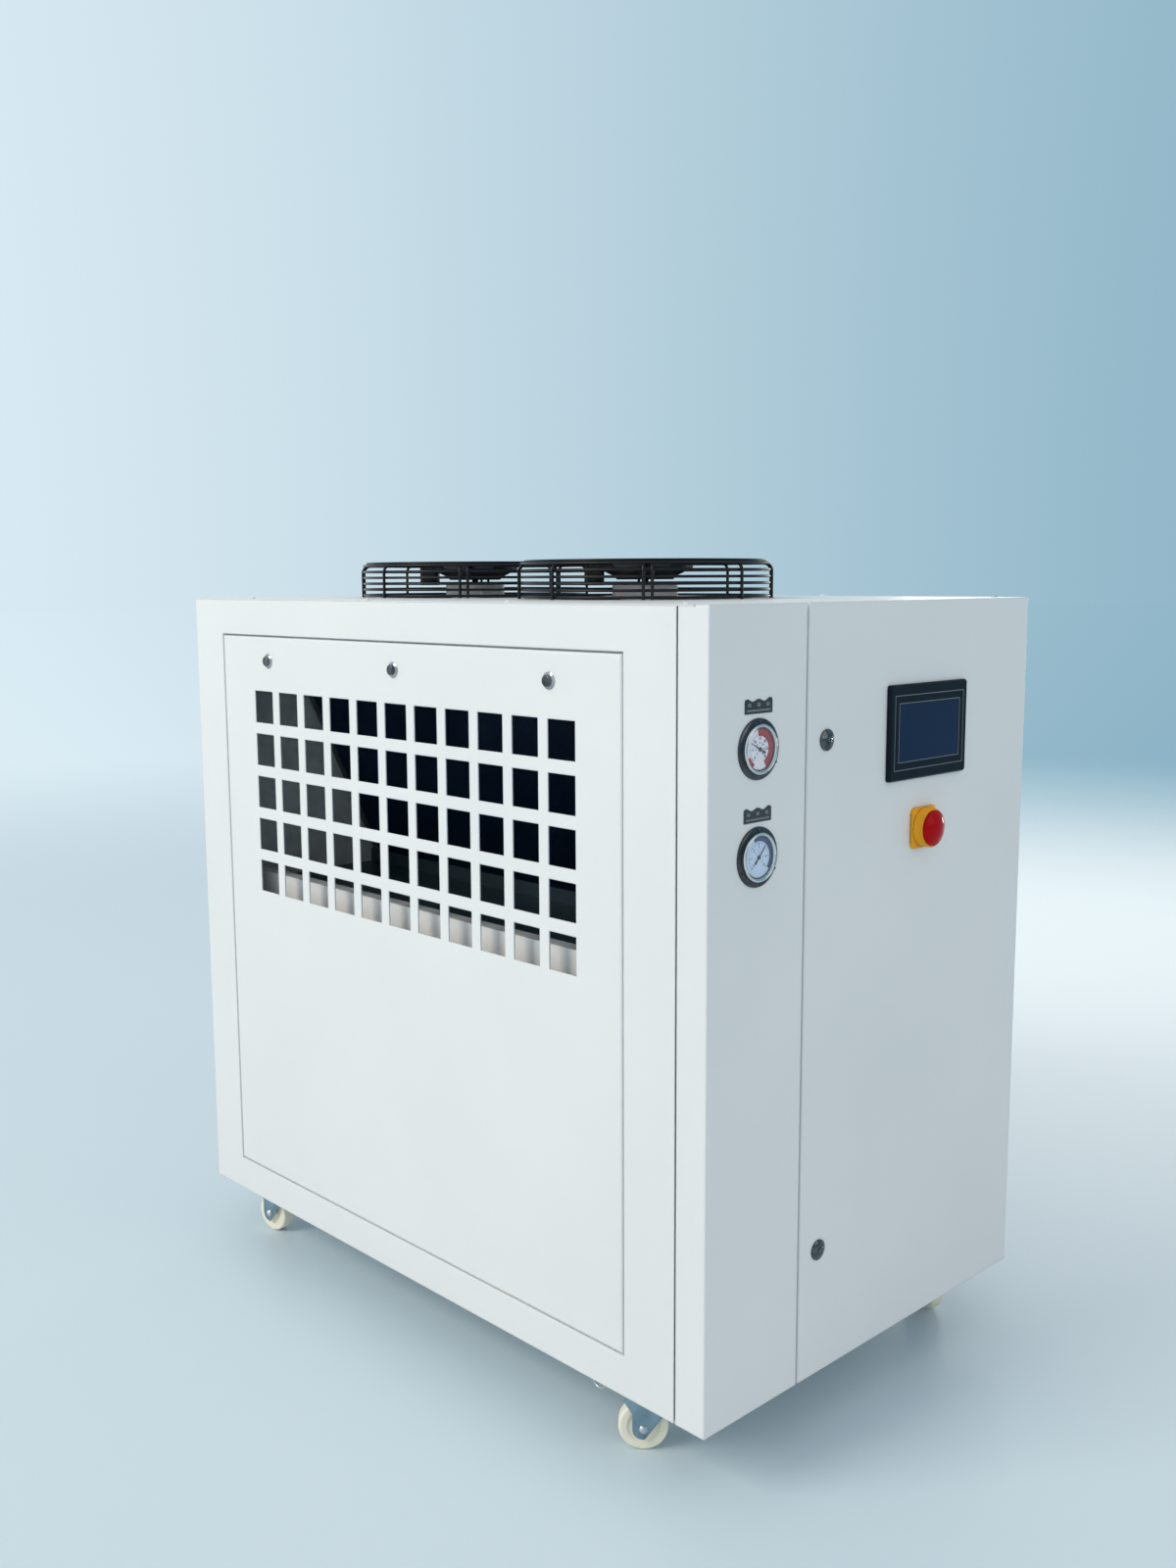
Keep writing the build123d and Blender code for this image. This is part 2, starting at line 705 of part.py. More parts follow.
def hmi_case():
    """Operator panel: bevelled bezel on the door and its body behind."""
    z = base_z + hmi_centre_height
    face = front_y - hmi_rise
    bezel = extrude(RectangleRounded(hmi_width, hmi_height, hmi_corner), hmi_rise)
    bezel = Pos(hmi_x, front_y, z) * Rot(90, 0, 0) * bezel
    bezel = chamfer(bezel.faces().sort_by(Axis.Y)[0].edges(), hmi_bevel)
    half_x, half_z = hmi_window()
    bezel -= slab((hmi_x - half_x, hmi_x + half_x), (face - 1, face + hmi_recess), (z - half_z, z + half_z))
    back_x, back_z = hmi_width / 2 - hmi_back_inset, hmi_height / 2 - hmi_back_inset
    back = slab((hmi_x - back_x, hmi_x + back_x), (front_y, front_y + hmi_back_depth), (z - back_z, z + back_z))
    return bezel + back


def hmi_screen():
    """Glass of the operator panel, let into the bezel."""
    z = base_z + hmi_centre_height
    face = front_y - hmi_rise
    half_x, half_z = hmi_window()
    y = (face + hmi_glass_set, face + hmi_recess)
    return slab((hmi_x - half_x, hmi_x + half_x), y, (z - half_z, z + half_z))


def switch_body():
    """Yellow switch plate with its round collar, neck and rear block."""
    z = base_z + switch_height
    plate = Pos(control_x, front_y, z) * Rot(90, 0, 0) * extrude(
        RectangleRounded(switch_side, switch_side, switch_corner), switch_plate_thickness)
    face = front_y - switch_plate_thickness
    plate = chamfer(plate.faces().sort_by(Axis.Y)[0].edges(), switch_bevel)
    collar = rod_y(collar_radius, control_x, z, (face - collar_rise, face))
    neck = rod_y(switch_neck_radius, control_x, z, (front_y, front_y + switch_neck_length))
    half = switch_back_side / 2
    back_depth = (front_y + switch_neck_length, front_y + switch_back_depth)
    back = slab((control_x - half, control_x + half), back_depth, (z - half, z + half))
    bore = rod_y(knob_shaft_radius + shaft_gap, control_x, z,
                 (face - collar_rise - 1, face - collar_rise + knob_shaft_length + 1))
    return fuse([plate, collar, neck, back]) - bore


def switch_knob():
    """Red domed knob on its shaft."""
    z = base_z + switch_height
    seat = front_y - switch_plate_thickness - collar_rise
    cap = Pos(control_x, seat - knob_gap, z) * Rot(90, 0, 0) * dome(knob_radius, knob_rim, knob_dome)
    shaft = rod_y(knob_shaft_radius, control_x, z, (seat - knob_gap, seat + knob_shaft_length))
    return cap + shaft


def lock_barrel(height):
    """Round lock housing with its domed flange on the door."""
    z = base_z + height
    cap = dome(lock_flange_radius, lock_flange_rim, lock_flange_dome)
    flange = Pos(lock_x, front_y, z) * Rot(90, 0, 0) * cap
    body = rod_y(lock_body_radius, lock_x, z, (front_y, front_y + lock_body_depth))
    bore = rod_y(lock_core_radius + shaft_gap, lock_x, z, (front_y - 10, front_y + lock_body_depth + 1))
    return flange + body - bore


def lock_cam(height):
    """Lock core with its key slot, and the cam behind, hanging down unlocked."""
    z = base_z + height
    face = front_y - lock_flange_rim - lock_flange_dome - lock_core_rise
    core_y = (face, front_y + lock_body_depth + cam_gap)
    core = rod_y(lock_core_radius, lock_x, z, core_y)
    half_width, half_length = key_slot_width / 2, key_slot_length / 2
    slot_y = (face - 1, face + key_slot_depth)
    core -= slab((lock_x - half_width, lock_x + half_width), slot_y, (z - half_length, z + half_length))
    cam_y = (core_y[1], core_y[1] + cam_thickness)
    cam = slab((lock_x - cam_width / 2, lock_x + cam_width / 2), cam_y, (z - cam_length, z))
    return fuse([core, cam, rod_y(cam_width / 2, lock_x, z, cam_y)])


def gauge_case(height):
    """Chrome gauge: flange on the panel, raised rim, case behind, and the window recess."""
    z = base_z + height
    face = front_y - gauge_flange_thickness
    flange = rod_y(gauge_flange_radius, gauge_x, z, (face, front_y))
    flange = fillet(flange.edges().filter_by(GeomType.CIRCLE).group_by(Axis.Y)[0], gauge_flange_edge)
    rim = rod_y(gauge_rim_radius, gauge_x, z, (face - gauge_rim_rise, face))
    rim = fillet(rim.edges().filter_by(GeomType.CIRCLE).group_by(Axis.Y)[0], gauge_rim_edge)
    case = rod_y(gauge_case_radius, gauge_x, z, (front_y, front_y + gauge_case_depth))
    recess = rod_y(gauge_window_radius, gauge_x, z,
                   (face - gauge_rim_rise - 1, face - gauge_rim_rise + gauge_recess))
    return fuse([flange, rim, case]) - recess


def gauge_dial(height):
    """Printed dial disc at the bottom of the gauge's recess."""
    back = front_y - gauge_flange_thickness - gauge_rim_rise + gauge_recess
    return rod_y(gauge_window_radius, gauge_x, base_z + height, (back - dial_thickness, back))


def gauge_glass(height):
    """Flat window of the gauge, just inside the rim."""
    face = front_y - gauge_flange_thickness - gauge_rim_rise
    return rod_y(gauge_window_radius, gauge_x, base_z + height, (face + glass_set, face + glass_set + glass_thickness))


def label_plate(height):
    """Thin plate over a gauge, with a wavy top edge."""
    z = base_z + height + gauge_flange_radius + label_gap
    half = label_width / 2
    top = label_height
    left, right = (-half, top - label_lip), (half, top + label_lip)
    crests = [left, (-half * 0.62, top - label_dip), (0, top), (half * 0.55, top - label_dip), right]
    outline = [Polyline(right, (half, 0), (-half, 0), left), Spline(*crests)]
    face = Plane((gauge_x, front_y, z), x_dir=(1, 0, 0), z_dir=(0, -1, 0)) * make_face(outline)
    return extrude(face, label_thickness, dir=(0, -1, 0))


def castor_places():
    """Name, x and y of each swivel axis."""
    x = half_w - castor_side_margin
    y = half_l - castor_end_margin
    return [("front_left", -x, -y), ("front_right", x, -y), ("rear_left", -x, y), ("rear_right", x, y)]


def castor_plate():
    """Top plate, upper race and kingpin, about the swivel axis."""
    plate_z = base_z - castor_plate_thickness
    half_x, half_y = castor_plate_width / 2, castor_plate_length / 2
    plate = slab((-half_x, half_x), (-half_y, half_y), (plate_z, base_z))
    plate = fillet(plate.edges().filter_by(Axis.Z), castor_plate_corner)
    race = rod_z(race_radius, 0, 0, (plate_z - race_height, plate_z))
    pin = rod_z(kingpin_radius, 0, 0, (crown_low - kingpin_head, plate_z))
    head = rod_z(kingpin_radius + kingpin_head, 0, 0, (crown_low - kingpin_head, crown_low - race_gap))
    return fuse([plate, race, pin, head])


def castor_leg():
    """Side view of the fork's leg: slanted front edge, round foot at the axle, flared rear edge."""
    cut = radians(leg_foot_cut)
    foot_start = (castor_trail + leg_foot_radius * cos(cut), wheel_radius - leg_foot_radius * sin(cut))
    foot_end = (castor_trail + leg_foot_radius, wheel_radius)
    rear = castor_trail + fork_rear
    foot = CenterArc((castor_trail, wheel_radius), leg_foot_radius, -leg_foot_cut, leg_foot_cut)
    edge = Polyline(foot_end, (foot_end[0], wheel_radius + fork_waist), (rear, crown_low - fork_skirt),
                    (rear, crown_high), (-fork_front, crown_high), (-fork_front, crown_low), foot_start)
    return make_face([foot, edge])


def castor_fork():
    """Pressed fork with its bolted axle, trail along +X, about the swivel axis."""
    inner = wheel_width / 2 + leg_gap
    outer = inner + leg_thickness
    fork = slab((-fork_front, castor_trail + fork_rear), (-outer, outer), (crown_low, crown_high))
    for y in (-outer, inner):
        plane = Plane((0, y + leg_thickness, 0), x_dir=(1, 0, 0), z_dir=(0, -1, 0))
        fork += extrude(plane * castor_leg(), leg_thickness, dir=(0, -1, 0))
    fork = fillet(fork.edges().filter_by(Axis.X).group_by(Axis.Z)[-1], leg_bend)
    fork += rod_z(race_radius + crown_rim, 0, 0, (crown_low, crown_high))
    fork -= rod_z(kingpin_radius + shaft_gap, 0, 0, (crown_low - 1, crown_high + 1))
    axle = rod_y(axle_radius, castor_trail, wheel_radius, (-outer, outer))
    heads = [Pos(castor_trail, side * outer, wheel_radius) * Rot(-90 * side, 0, 0)
             * dome(bolt_radius, bolt_rim, bolt_dome) for side in (-1, 1)]
    return fuse([fork, axle] + heads)


def castor_wheel():
    """Moulded wheel with a rounded tread, shallow side recesses and a hub bored for the axle."""
    half = wheel_width / 2
    web = half - wheel_recess
    hub_half = half + leg_gap - race_gap
    tread = wheel_radius - tread_width
    bore = axle_radius + shaft_gap
    side = [(bore, hub_half), (hub_radius, hub_half), (hub_radius + 1, web), (tread - wheel_recess, web),
            (tread, half), (wheel_radius, half)]
    profile = Polygon(*side, *[(x, -y) for x, y in reversed(side)], align=None)
    wheel = revolve(Plane.XY * profile, Axis.Y)
    rims = wheel.edges().filter_by(GeomType.CIRCLE).filter_by(lambda edge: edge.radius > wheel_radius - 1)
    return Pos(castor_trail, 0, wheel_radius) * fillet(rims, wheel_edge)


os.makedirs("parts", exist_ok=True)

write("base_plate", base_plate())
left_frame = side_frame()
write("left_side_frame", left_frame)
write("right_side_frame", mirror(left_frame, about=Plane.YZ))
left_intake = intake_panel()
write("left_intake_panel", left_intake)
write("right_intake_panel", mirror(left_intake, about=Plane.YZ))
left_latches = panel_latches()
write("panel_latches", together(left_latches + [mirror(latch, about=Plane.YZ) for latch in left_latches]))
write("rear_frame", rear_frame())
write("rear_panel", rear_panel())
for name, port_x, port_z, outer_radius, bore_radius in port_places():
    write(f"water_{name}", water_port(port_x, port_z, outer_radius, bore_radius))
write("top_panel", top_panel())
write("gauge_panel", gauge_panel())
write("front_frame", front_frame())
write("electrical_box", electrical_box())
write("mounting_plate", mounting_plate())
write("front_bulkhead", bulkhead(front_bulkhead_y))
write("rear_bulkhead", bulkhead(rear_bulkhead_y))
write("condenser_shelf", condenser_shelf())
write("shelf_rails", shelf_rails())
write("coil_cradle", coil_cradle())
left_coil = coil()
write("left_coil", left_coil)
write("right_coil", mirror(left_coil, about=Plane.YZ))

for place, fan_y in (("front", fan_front_y), ("rear", fan_rear_y)):
    write(f"fan_ring_{place}", fan_ring(fan_y))
    write(f"fan_guard_{place}", fan_guard(fan_y))
    write(f"fan_rotor_{place}", fan_rotor(fan_y))
write("fan_motors", together([fan_motor(fan_front_y), fan_motor(fan_rear_y)]))

write("door_panel", door())
write("door_hinge_leaves", door_hinge_leaves())
write("frame_hinge_leaves", frame_hinge_leaves())
write("hmi_case", hmi_case())
write("hmi_screen", hmi_screen())
write("switch_body", switch_body())
write("switch_knob", switch_knob())
locks = {"upper": upper_lock_height, "lower": lower_lock_height}
write("lock_barrels", together([lock_barrel(height) for height in locks.values()]))
for place, height in locks.items():
    write(f"lock_cam_{place}", lock_cam(height))

gauges = (upper_gauge_height, lower_gauge_height)
write("gauge_cases", together([gauge_case(height) for height in gauges]))
write("gauge_dials", together([gauge_dial(height) for height in gauges]))
write("gauge_glasses", together([gauge_glass(height) for height in gauges]))
write("label_plates", together([label_plate(height) for height in gauges]))

plates = []
for place, castor_x, castor_y in castor_places():
    plates.append(Pos(castor_x, castor_y, 0) * castor_plate())
    turned = Pos(castor_x, castor_y, 0) * Rot(0, 0, castor_turn[place])
    write(f"castor_fork_{place}", turned * castor_fork())
    write(f"castor_wheel_{place}", turned * castor_wheel())
write("castor_plates", together(plates))
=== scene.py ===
from functools import partial
from itertools import product
from math import asin, cos, degrees, pi, radians, sin

import bmesh
import bpy
from mathutils import Matrix, Vector


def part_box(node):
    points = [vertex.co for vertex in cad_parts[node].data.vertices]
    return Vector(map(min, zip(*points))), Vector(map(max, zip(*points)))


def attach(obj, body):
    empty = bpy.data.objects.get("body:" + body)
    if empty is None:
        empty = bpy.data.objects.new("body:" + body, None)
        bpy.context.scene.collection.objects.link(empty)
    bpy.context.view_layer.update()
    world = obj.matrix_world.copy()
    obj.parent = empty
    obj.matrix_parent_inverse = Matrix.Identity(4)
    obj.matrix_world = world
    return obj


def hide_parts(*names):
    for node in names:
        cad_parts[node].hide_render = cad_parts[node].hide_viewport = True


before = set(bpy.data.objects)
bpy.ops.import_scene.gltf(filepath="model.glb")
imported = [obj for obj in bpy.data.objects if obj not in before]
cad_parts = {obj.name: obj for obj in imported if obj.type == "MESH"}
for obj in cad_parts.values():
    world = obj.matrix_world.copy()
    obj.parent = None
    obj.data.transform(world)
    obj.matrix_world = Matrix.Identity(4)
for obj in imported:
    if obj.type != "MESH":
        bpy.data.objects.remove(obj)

scene = bpy.context.scene
scene.view_settings.view_transform = "Standard"
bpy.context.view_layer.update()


# The camera stands at chest height, about two metres out from the near corner, and looks slightly
# down. The longer side of its film stands upright, as the picture's does.
eye = Vector((-1.845, -1.929, 1.297))
heading, dip, roll = radians(43.93), radians(7.96), radians(-0.27)
focal_length = 33.93
film_height = 36.0


def linked(name, data):
    """An object that holds a mesh, a lamp or a camera, linked to the scene."""
    piece = bpy.data.objects.new(name, data)
    scene.collection.objects.link(piece)
    return piece


camera = linked("camera", bpy.data.cameras.new("camera"))
camera.data.lens = focal_length
camera.data.sensor_width = film_height
ahead = Vector((cos(dip) * sin(heading), cos(dip) * cos(heading), -sin(dip)))
camera.rotation_mode = "QUATERNION"
camera.rotation_quaternion = ahead.to_track_quat("-Z", "Y") @ Matrix.Rotation(roll, 3, "Z").to_quaternion()
camera.location = eye
scene.camera = camera


# The studio: a pale floor that fades into a backdrop, which is bright on the grille side and a
# deeper blue on the control side, a large soft lamp high on the grille side, three weak ones and
# an even sky.
floor_colour, floor_roughness, floor_specular = (0.60, 0.72, 0.79, 1.0), 0.32, 0.25
floor_reach = 60.0
fade_start, fade_end = 3.5, 9.0
backdrop_bright, backdrop_deep = (0.72, 0.85, 0.92, 1.0), (0.26, 0.45, 0.56, 1.0)
backdrop_across = Vector((cos(heading), -sin(heading), 0))
backdrop_turn = 0.55
sky_colour, sky_strength = (0.90, 0.945, 0.99, 1.0), 0.71
lamp_colour = (1.0, 0.91, 0.79)


def add(tree, kind, settings=(), **wires):
    """A node in a tree, with its settings, and its inputs given a value or another node's socket."""
    node = tree.nodes.new(kind)
    for label, value in dict(settings).items():
        setattr(node, label, value)
    for label, value in wires.items():
        socket = node.inputs[int(label[2:]) if label.startswith("in") else label.replace("_", " ")]
        if isinstance(value, bpy.types.NodeSocket):
            tree.links.new(value, socket)
        else:
            socket.default_value = value
    return node


def backdrop_shade(tree, direction):
    """The backdrop's colour in a direction: a slow change from its bright to its deep side."""
    across = add(tree, "ShaderNodeVectorMath", {"operation": "DOT_PRODUCT"}, in0=direction,
                 in1=backdrop_across)
    share = add(tree, "ShaderNodeMapRange", {"interpolation_type": "SMOOTHSTEP"},
                Value=across.outputs["Value"], From_Min=-backdrop_turn, From_Max=backdrop_turn)
    shade = add(tree, "ShaderNodeMix", {"data_type": "RGBA"}, Factor=share.outputs["Result"],
                in6=backdrop_bright, in7=backdrop_deep)
    return shade.outputs[2]


floor_mesh = bpy.data.meshes.new("floor")
floor_mesh.from_pydata([(x, y, 0) for x, y in ((-1, -1), (1, -1), (1, 1), (-1, 1))], [], [(0, 1, 2, 3)])
floor_mesh.transform(Matrix.Scale(floor_reach, 4))
floor = linked("floor", floor_mesh)

floor_paint = bpy.data.materials.new("floor_paint")
floor_paint.use_nodes = True
tree = floor_paint.node_tree
paint = tree.nodes["Principled BSDF"]
paint.inputs["Base Color"].default_value = floor_colour
paint.inputs["Roughness"].default_value = floor_roughness
paint.inputs["Specular IOR Level"].default_value = floor_specular
place = add(tree, "ShaderNodeTexCoord").outputs["Object"]
distance = add(tree, "ShaderNodeVectorMath", {"operation": "LENGTH"}, in0=place)
fade = add(tree, "ShaderNodeMapRange", {"interpolation_type": "SMOOTHSTEP"},
           Value=distance.outputs["Value"], From_Min=fade_start, From_Max=fade_end)
bearing = add(tree, "ShaderNodeVectorMath", {"operation": "NORMALIZE"}, in0=place)
glow = add(tree, "ShaderNodeEmission", Color=backdrop_shade(tree, bearing.outputs["Vector"]))
blend = add(tree, "ShaderNodeMixShader", Fac=fade.outputs["Result"], in1=paint.outputs["BSDF"],
            in2=glow.outputs["Emission"])
tree.links.new(blend.outputs["Shader"], tree.nodes["Material Output"].inputs["Surface"])
floor_mesh.materials.append(floor_paint)

world = bpy.data.worlds.new("studio")
scene.world = world
world.use_nodes = True
tree = world.node_tree
sky = tree.nodes["Background"]
sky.inputs["Color"].default_value = sky_colour
sky.inputs["Strength"].default_value = sky_strength
bearing = add(tree, "ShaderNodeTexCoord")
seen = add(tree, "ShaderNodeBackground", Color=backdrop_shade(tree, bearing.outputs["Generated"]))
rays = add(tree, "ShaderNodeLightPath").outputs
mirrored = add(tree, "ShaderNodeMath", {"operation": "MAXIMUM"}, in0=rays["Is Glossy Ray"],
               in1=rays["Is Transmission Ray"])
direct = add(tree, "ShaderNodeMath", {"operation": "MAXIMUM"}, in0=rays["Is Camera Ray"],
             in1=mirrored.outputs["Value"])
choose = add(tree, "ShaderNodeMixShader", Fac=direct.outputs["Value"], in1=sky.outputs["Background"],
             in2=seen.outputs["Background"])
tree.links.new(choose.outputs["Shader"], tree.nodes["World Output"].inputs["Surface"])

for name, spot, target, width, power in (
        ("key_lamp", (-9.0, 3.0, 7.0), (0, 0, 0.6), 5.0, 620.0),
        ("front_lamp", (3.0, -9.0, 4.0), (0, 0, 0.6), 5.0, 72.0),
        ("side_lamp", (8.0, 3.0, 2.4), (0, 0, 0.7), 3.0, 70.0),
        ("glint_lamp", (8.0, -0.6, 0.6), (0, 0, 0.9), 0.7, 30.0)):
    lamp = linked(name, bpy.data.lights.new(name, "AREA"))
    lamp.data.size = width
    lamp.data.energy = power
    lamp.data.color = lamp_colour
    lamp.location = spot
    lamp.rotation_euler = (Vector(target) - Vector(spot)).to_track_quat("-Z", "Y").to_euler()


# The cabinet is folded steel sheet with a satin white powder coat: a very fine orange peel, a
# slow waviness of the sheet, and rounded folds that catch the light.
coat_colour, coat_shade = (0.80, 0.82, 0.82), (0.77, 0.795, 0.80)
coated_nodes = ("left_side_frame", "right_side_frame", "rear_frame", "rear_panel", "top_panel",
                "front_frame", "electrical_box", "gauge_panel", "door_panel", "shelf_rails",
                "left_intake_panel", "right_intake_panel")
patch_low, patch_high = 0.35, 0.65
wave_scale = 2.6


def socket_kind(label, value):
    """The kind of a group's socket, from the value that it starts with, or else from its label."""
    if value is None:
        return "NodeSocketGeometry" if label == "Geometry" else "NodeSocketMaterial"
    if isinstance(value, tuple):
        return "NodeSocketVector" if len(value) == 3 else "NodeSocketColor"
    return "NodeSocketInt" if isinstance(value, int) else "NodeSocketFloat"


def new_tree(name, kind, inputs, outputs):
    """An empty node group with named sockets, what it is given, and its output node."""
    tree = bpy.data.node_groups.new(name, kind)
    for in_out, sockets in (("INPUT", inputs), ("OUTPUT", outputs)):
        for label, value in sockets.items():
            socket = tree.interface.new_socket(label, in_out=in_out, socket_type=socket_kind(label, value))
            if value is not None:
                socket.default_value = value
    return tree, tree.nodes.new("NodeGroupInput").outputs, tree.nodes.new("NodeGroupOutput")


def surface_drift_group():
    """Slow change of tone and roughness over a surface, with a fine grain and a slow wave as height."""
    tree, given, out = new_tree("surface_drift", "ShaderNodeTree", {
        "Colour": (0.8, 0.8, 0.8, 1.0), "Shade": (0.7, 0.7, 0.7, 1.0), "Patch": 3.0, "Grain": 900.0,
        "Rough Low": 0.3, "Rough High": 0.4, "Wave": 0.0,
    }, {"Colour": (0.8, 0.8, 0.8, 1.0), "Roughness": 0.3, "Height": 0.0})
    place = add(tree, "ShaderNodeTexCoord").outputs["Object"]
    patches = add(tree, "ShaderNodeTexNoise", Vector=place, Scale=given["Patch"], Detail=5).outputs["Fac"]
    grain = add(tree, "ShaderNodeTexNoise", Vector=place, Scale=given["Grain"], Detail=2).outputs["Fac"]
    wave = add(tree, "ShaderNodeTexNoise", Vector=place, Scale=wave_scale, Detail=0).outputs["Fac"]
    steep = add(tree, "ShaderNodeMapRange", Value=patches, From_Min=patch_low, From_Max=patch_high)
    tone = add(tree, "ShaderNodeMix", {"data_type": "RGBA"}, Factor=steep.outputs["Result"],
               A=given["Colour"], B=given["Shade"])
    rough = add(tree, "ShaderNodeMapRange", Value=patches, To_Min=given["Rough Low"],
                To_Max=given["Rough High"])
    height = add(tree, "ShaderNodeMath", {"operation": "MULTIPLY_ADD"}, in0=wave, in1=given["Wave"],
                 in2=grain)
    tree.links.new(tone.outputs["Result"], out.inputs["Colour"])
    tree.links.new(rough.outputs["Result"], out.inputs["Roughness"])
    tree.links.new(height.outputs["Value"], out.inputs["Height"])
    return tree


surface_drift = surface_drift_group()


def finish(name, colour, shade, rough, patch=4.0, grain=900.0, depth=0.00002, wave=0.0, edge=0.0005,
           **sockets):
    """A material on the surface drift, with its own shader values and softly rounded edges."""
    material = bpy.data.materials.new(name)
    material.use_nodes = True
    tree = material.node_tree
    shader = tree.nodes["Principled BSDF"]
    drift = add(tree, "ShaderNodeGroup", {"node_tree": surface_drift}, Colour=(*colour, 1.0),
                Shade=(*shade, 1.0), Patch=patch, Grain=grain, Rough_Low=rough[0], Rough_High=rough[1],
                Wave=wave).outputs
    rounded = add(tree, "ShaderNodeBevel", {"samples": 6}, Radius=edge)
    bump = add(tree, "ShaderNodeBump", Distance=depth, Height=drift["Height"],
               Normal=rounded.outputs["Normal"])
    tree.links.new(drift["Colour"], shader.inputs["Base Color"])
    tree.links.new(drift["Roughness"], shader.inputs["Roughness"])
    tree.links.new(bump.outputs["Normal"], shader.inputs["Normal"])
    for label, value in sockets.items():
        shader.inputs[label.replace("_", " ")].default_value = value
    return material


def paint_nodes(material, nodes):
    """Gives CAD nodes their finish."""
    for node in nodes:
        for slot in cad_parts[node].material_slots:
            slot.material = material


powder_coat = finish("powder_coat", coat_colour, coat_shade, (0.30, 0.38), patch=3.0, grain=1100.0,
                     depth=0.00003, wave=8.0, edge=0.0032, Specular_IOR_Level=0.45)
paint_nodes(powder_coat, coated_nodes)


# Base plate, bulkheads and the bare mounting plate are galvanised sheet: grey zinc with its spangle
# and a dull sheen. The shelf and the coils' seat under them are painted slate.
zinc_colour, zinc_shade = (0.80, 0.85, 0.86), (0.70, 0.76, 0.77)
slate_colour, slate_shade = (0.030, 0.062, 0.082), (0.020, 0.040, 0.054)
spangle_scale, spangle_strength = 70.0, 0.22

galvanised = finish("galvanised_sheet", zinc_colour, zinc_shade, (0.38, 0.55), patch=26.0, grain=300.0,
                    depth=0.00004, edge=0.0004, Metallic=0.15)
tree = galvanised.node_tree
drift = next(node for node in tree.nodes if node.type == "GROUP")
place = add(tree, "ShaderNodeTexCoord").outputs["Object"]
spangle = add(tree, "ShaderNodeTexVoronoi", Vector=place, Scale=spangle_scale)
grey = add(tree, "ShaderNodeRGBToBW", Color=spangle.outputs["Color"])
flakes = add(tree, "ShaderNodeMix", {"data_type": "RGBA", "blend_type": "OVERLAY"},
             Factor=spangle_strength, A=drift.outputs["Colour"], B=grey.outputs["Val"])
tree.links.new(flakes.outputs["Result"], tree.nodes["Principled BSDF"].inputs["Base Color"])
paint_nodes(galvanised, ("base_plate", "front_bulkhead", "rear_bulkhead", "mounting_plate"))
slate_paint = finish("slate_paint", slate_colour, slate_shade, (0.34, 0.48), patch=6.0, edge=0.0008)
paint_nodes(slate_paint, ("condenser_shelf", "coil_cradle"))


# Each condenser coil is a pack of thin coated aluminium fins on copper tubes, between two zinc
# tube sheets. The fins are grown one by one along the coil's length; the tubes' return bends
# stand out of the tube sheets.
fin_pitch, fin_thickness, fin_recess = 0.0036, 0.0006, 0.001
coil_depth, coil_slant, coil_lean = 0.040, 0.540, 65.3
tube_sheet_thickness, tube_sheet_lip = 0.002, 0.007
tube_radius, tube_pitch, tube_rows, tube_sides = 0.0048, 0.0254, 2, 10
bend_margin = 0.01


def geometry_tree(name, inputs):
    """An empty Geometry Nodes tree with named inputs, a mesh in and a mesh out."""
    return new_tree(name, "GeometryNodeTree", {"Geometry": None, **inputs, "Finish": None},
                    {"Geometry": None})


def close_tree(tree, out, last, material):
    """Ends a tree: its last node's instances made real and given their finish."""
    real = add(tree, "GeometryNodeRealizeInstances", Geometry=last.outputs[0])
    coat = add(tree, "GeometryNodeSetMaterial", Geometry=real.outputs[0], Material=material)
    tree.links.new(coat.outputs[0], out.inputs[0])
    return tree


def shown_mesh(piece):
    """A plain mesh of what an object shows, with its modifiers applied."""
    return bpy.data.meshes.new_from_object(piece.evaluated_get(bpy.context.evaluated_depsgraph_get()))


def grow(name, tree, values, base_mesh):
    """Runs a tree on a mesh and keeps the result as a plain mesh object."""
    piece = linked(name, base_mesh)
    modifier = piece.modifiers.new("grow", "NODES")
    modifier.node_group = tree
    for item in tree.interface.items_tree:
        if item.item_type == "SOCKET" and item.in_out == "INPUT" and item.name in values:
            modifier[item.identifier] = values[item.name]
    grown = shown_mesh(piece)
    piece.modifiers.remove(modifier)
    piece.data = grown
    grown.name = name
    return piece


def points_mesh(name, places, facing=None):
    """A mesh of loose points, with the way they all face as an attribute."""
    mesh = bpy.data.meshes.new(name)
    mesh.from_pydata(places, [], [])
    if facing:
        rows = mesh.attributes.new("facing", "FLOAT_VECTOR", "POINT")
        rows.data.foreach_set("vector", facing * len(places))
    return mesh


def fin_tree():
    """Fins in a row along Y: one thin plate on each point of a line."""
    tree, size, out = geometry_tree("fin_pack", {
        "Count": 10, "Pitch": 0.003, "Fin Size": (0.04, 0.001, 0.5)})
    step = add(tree, "ShaderNodeCombineXYZ", Y=size["Pitch"])
    row = add(tree, "GeometryNodeMeshLine", Count=size["Count"], Offset=step.outputs[0])
    plate = add(tree, "GeometryNodeMeshCube", Size=size["Fin Size"])
    fins = add(tree, "GeometryNodeInstanceOnPoints", Points=row.outputs[0], Instance=plate.outputs[0])
    return close_tree(tree, out, fins, size["Finish"])


def settle(name, mesh, materials, smooth=False):
    """An object from a finished bmesh, with its materials."""
    data = bpy.data.meshes.new(name)
    mesh.to_mesh(data)
    mesh.free()
    for material in materials:
        data.materials.append(material)
    if smooth:
        data.polygons.foreach_set("use_smooth", [True] * len(data.polygons))
    return linked(name, data)


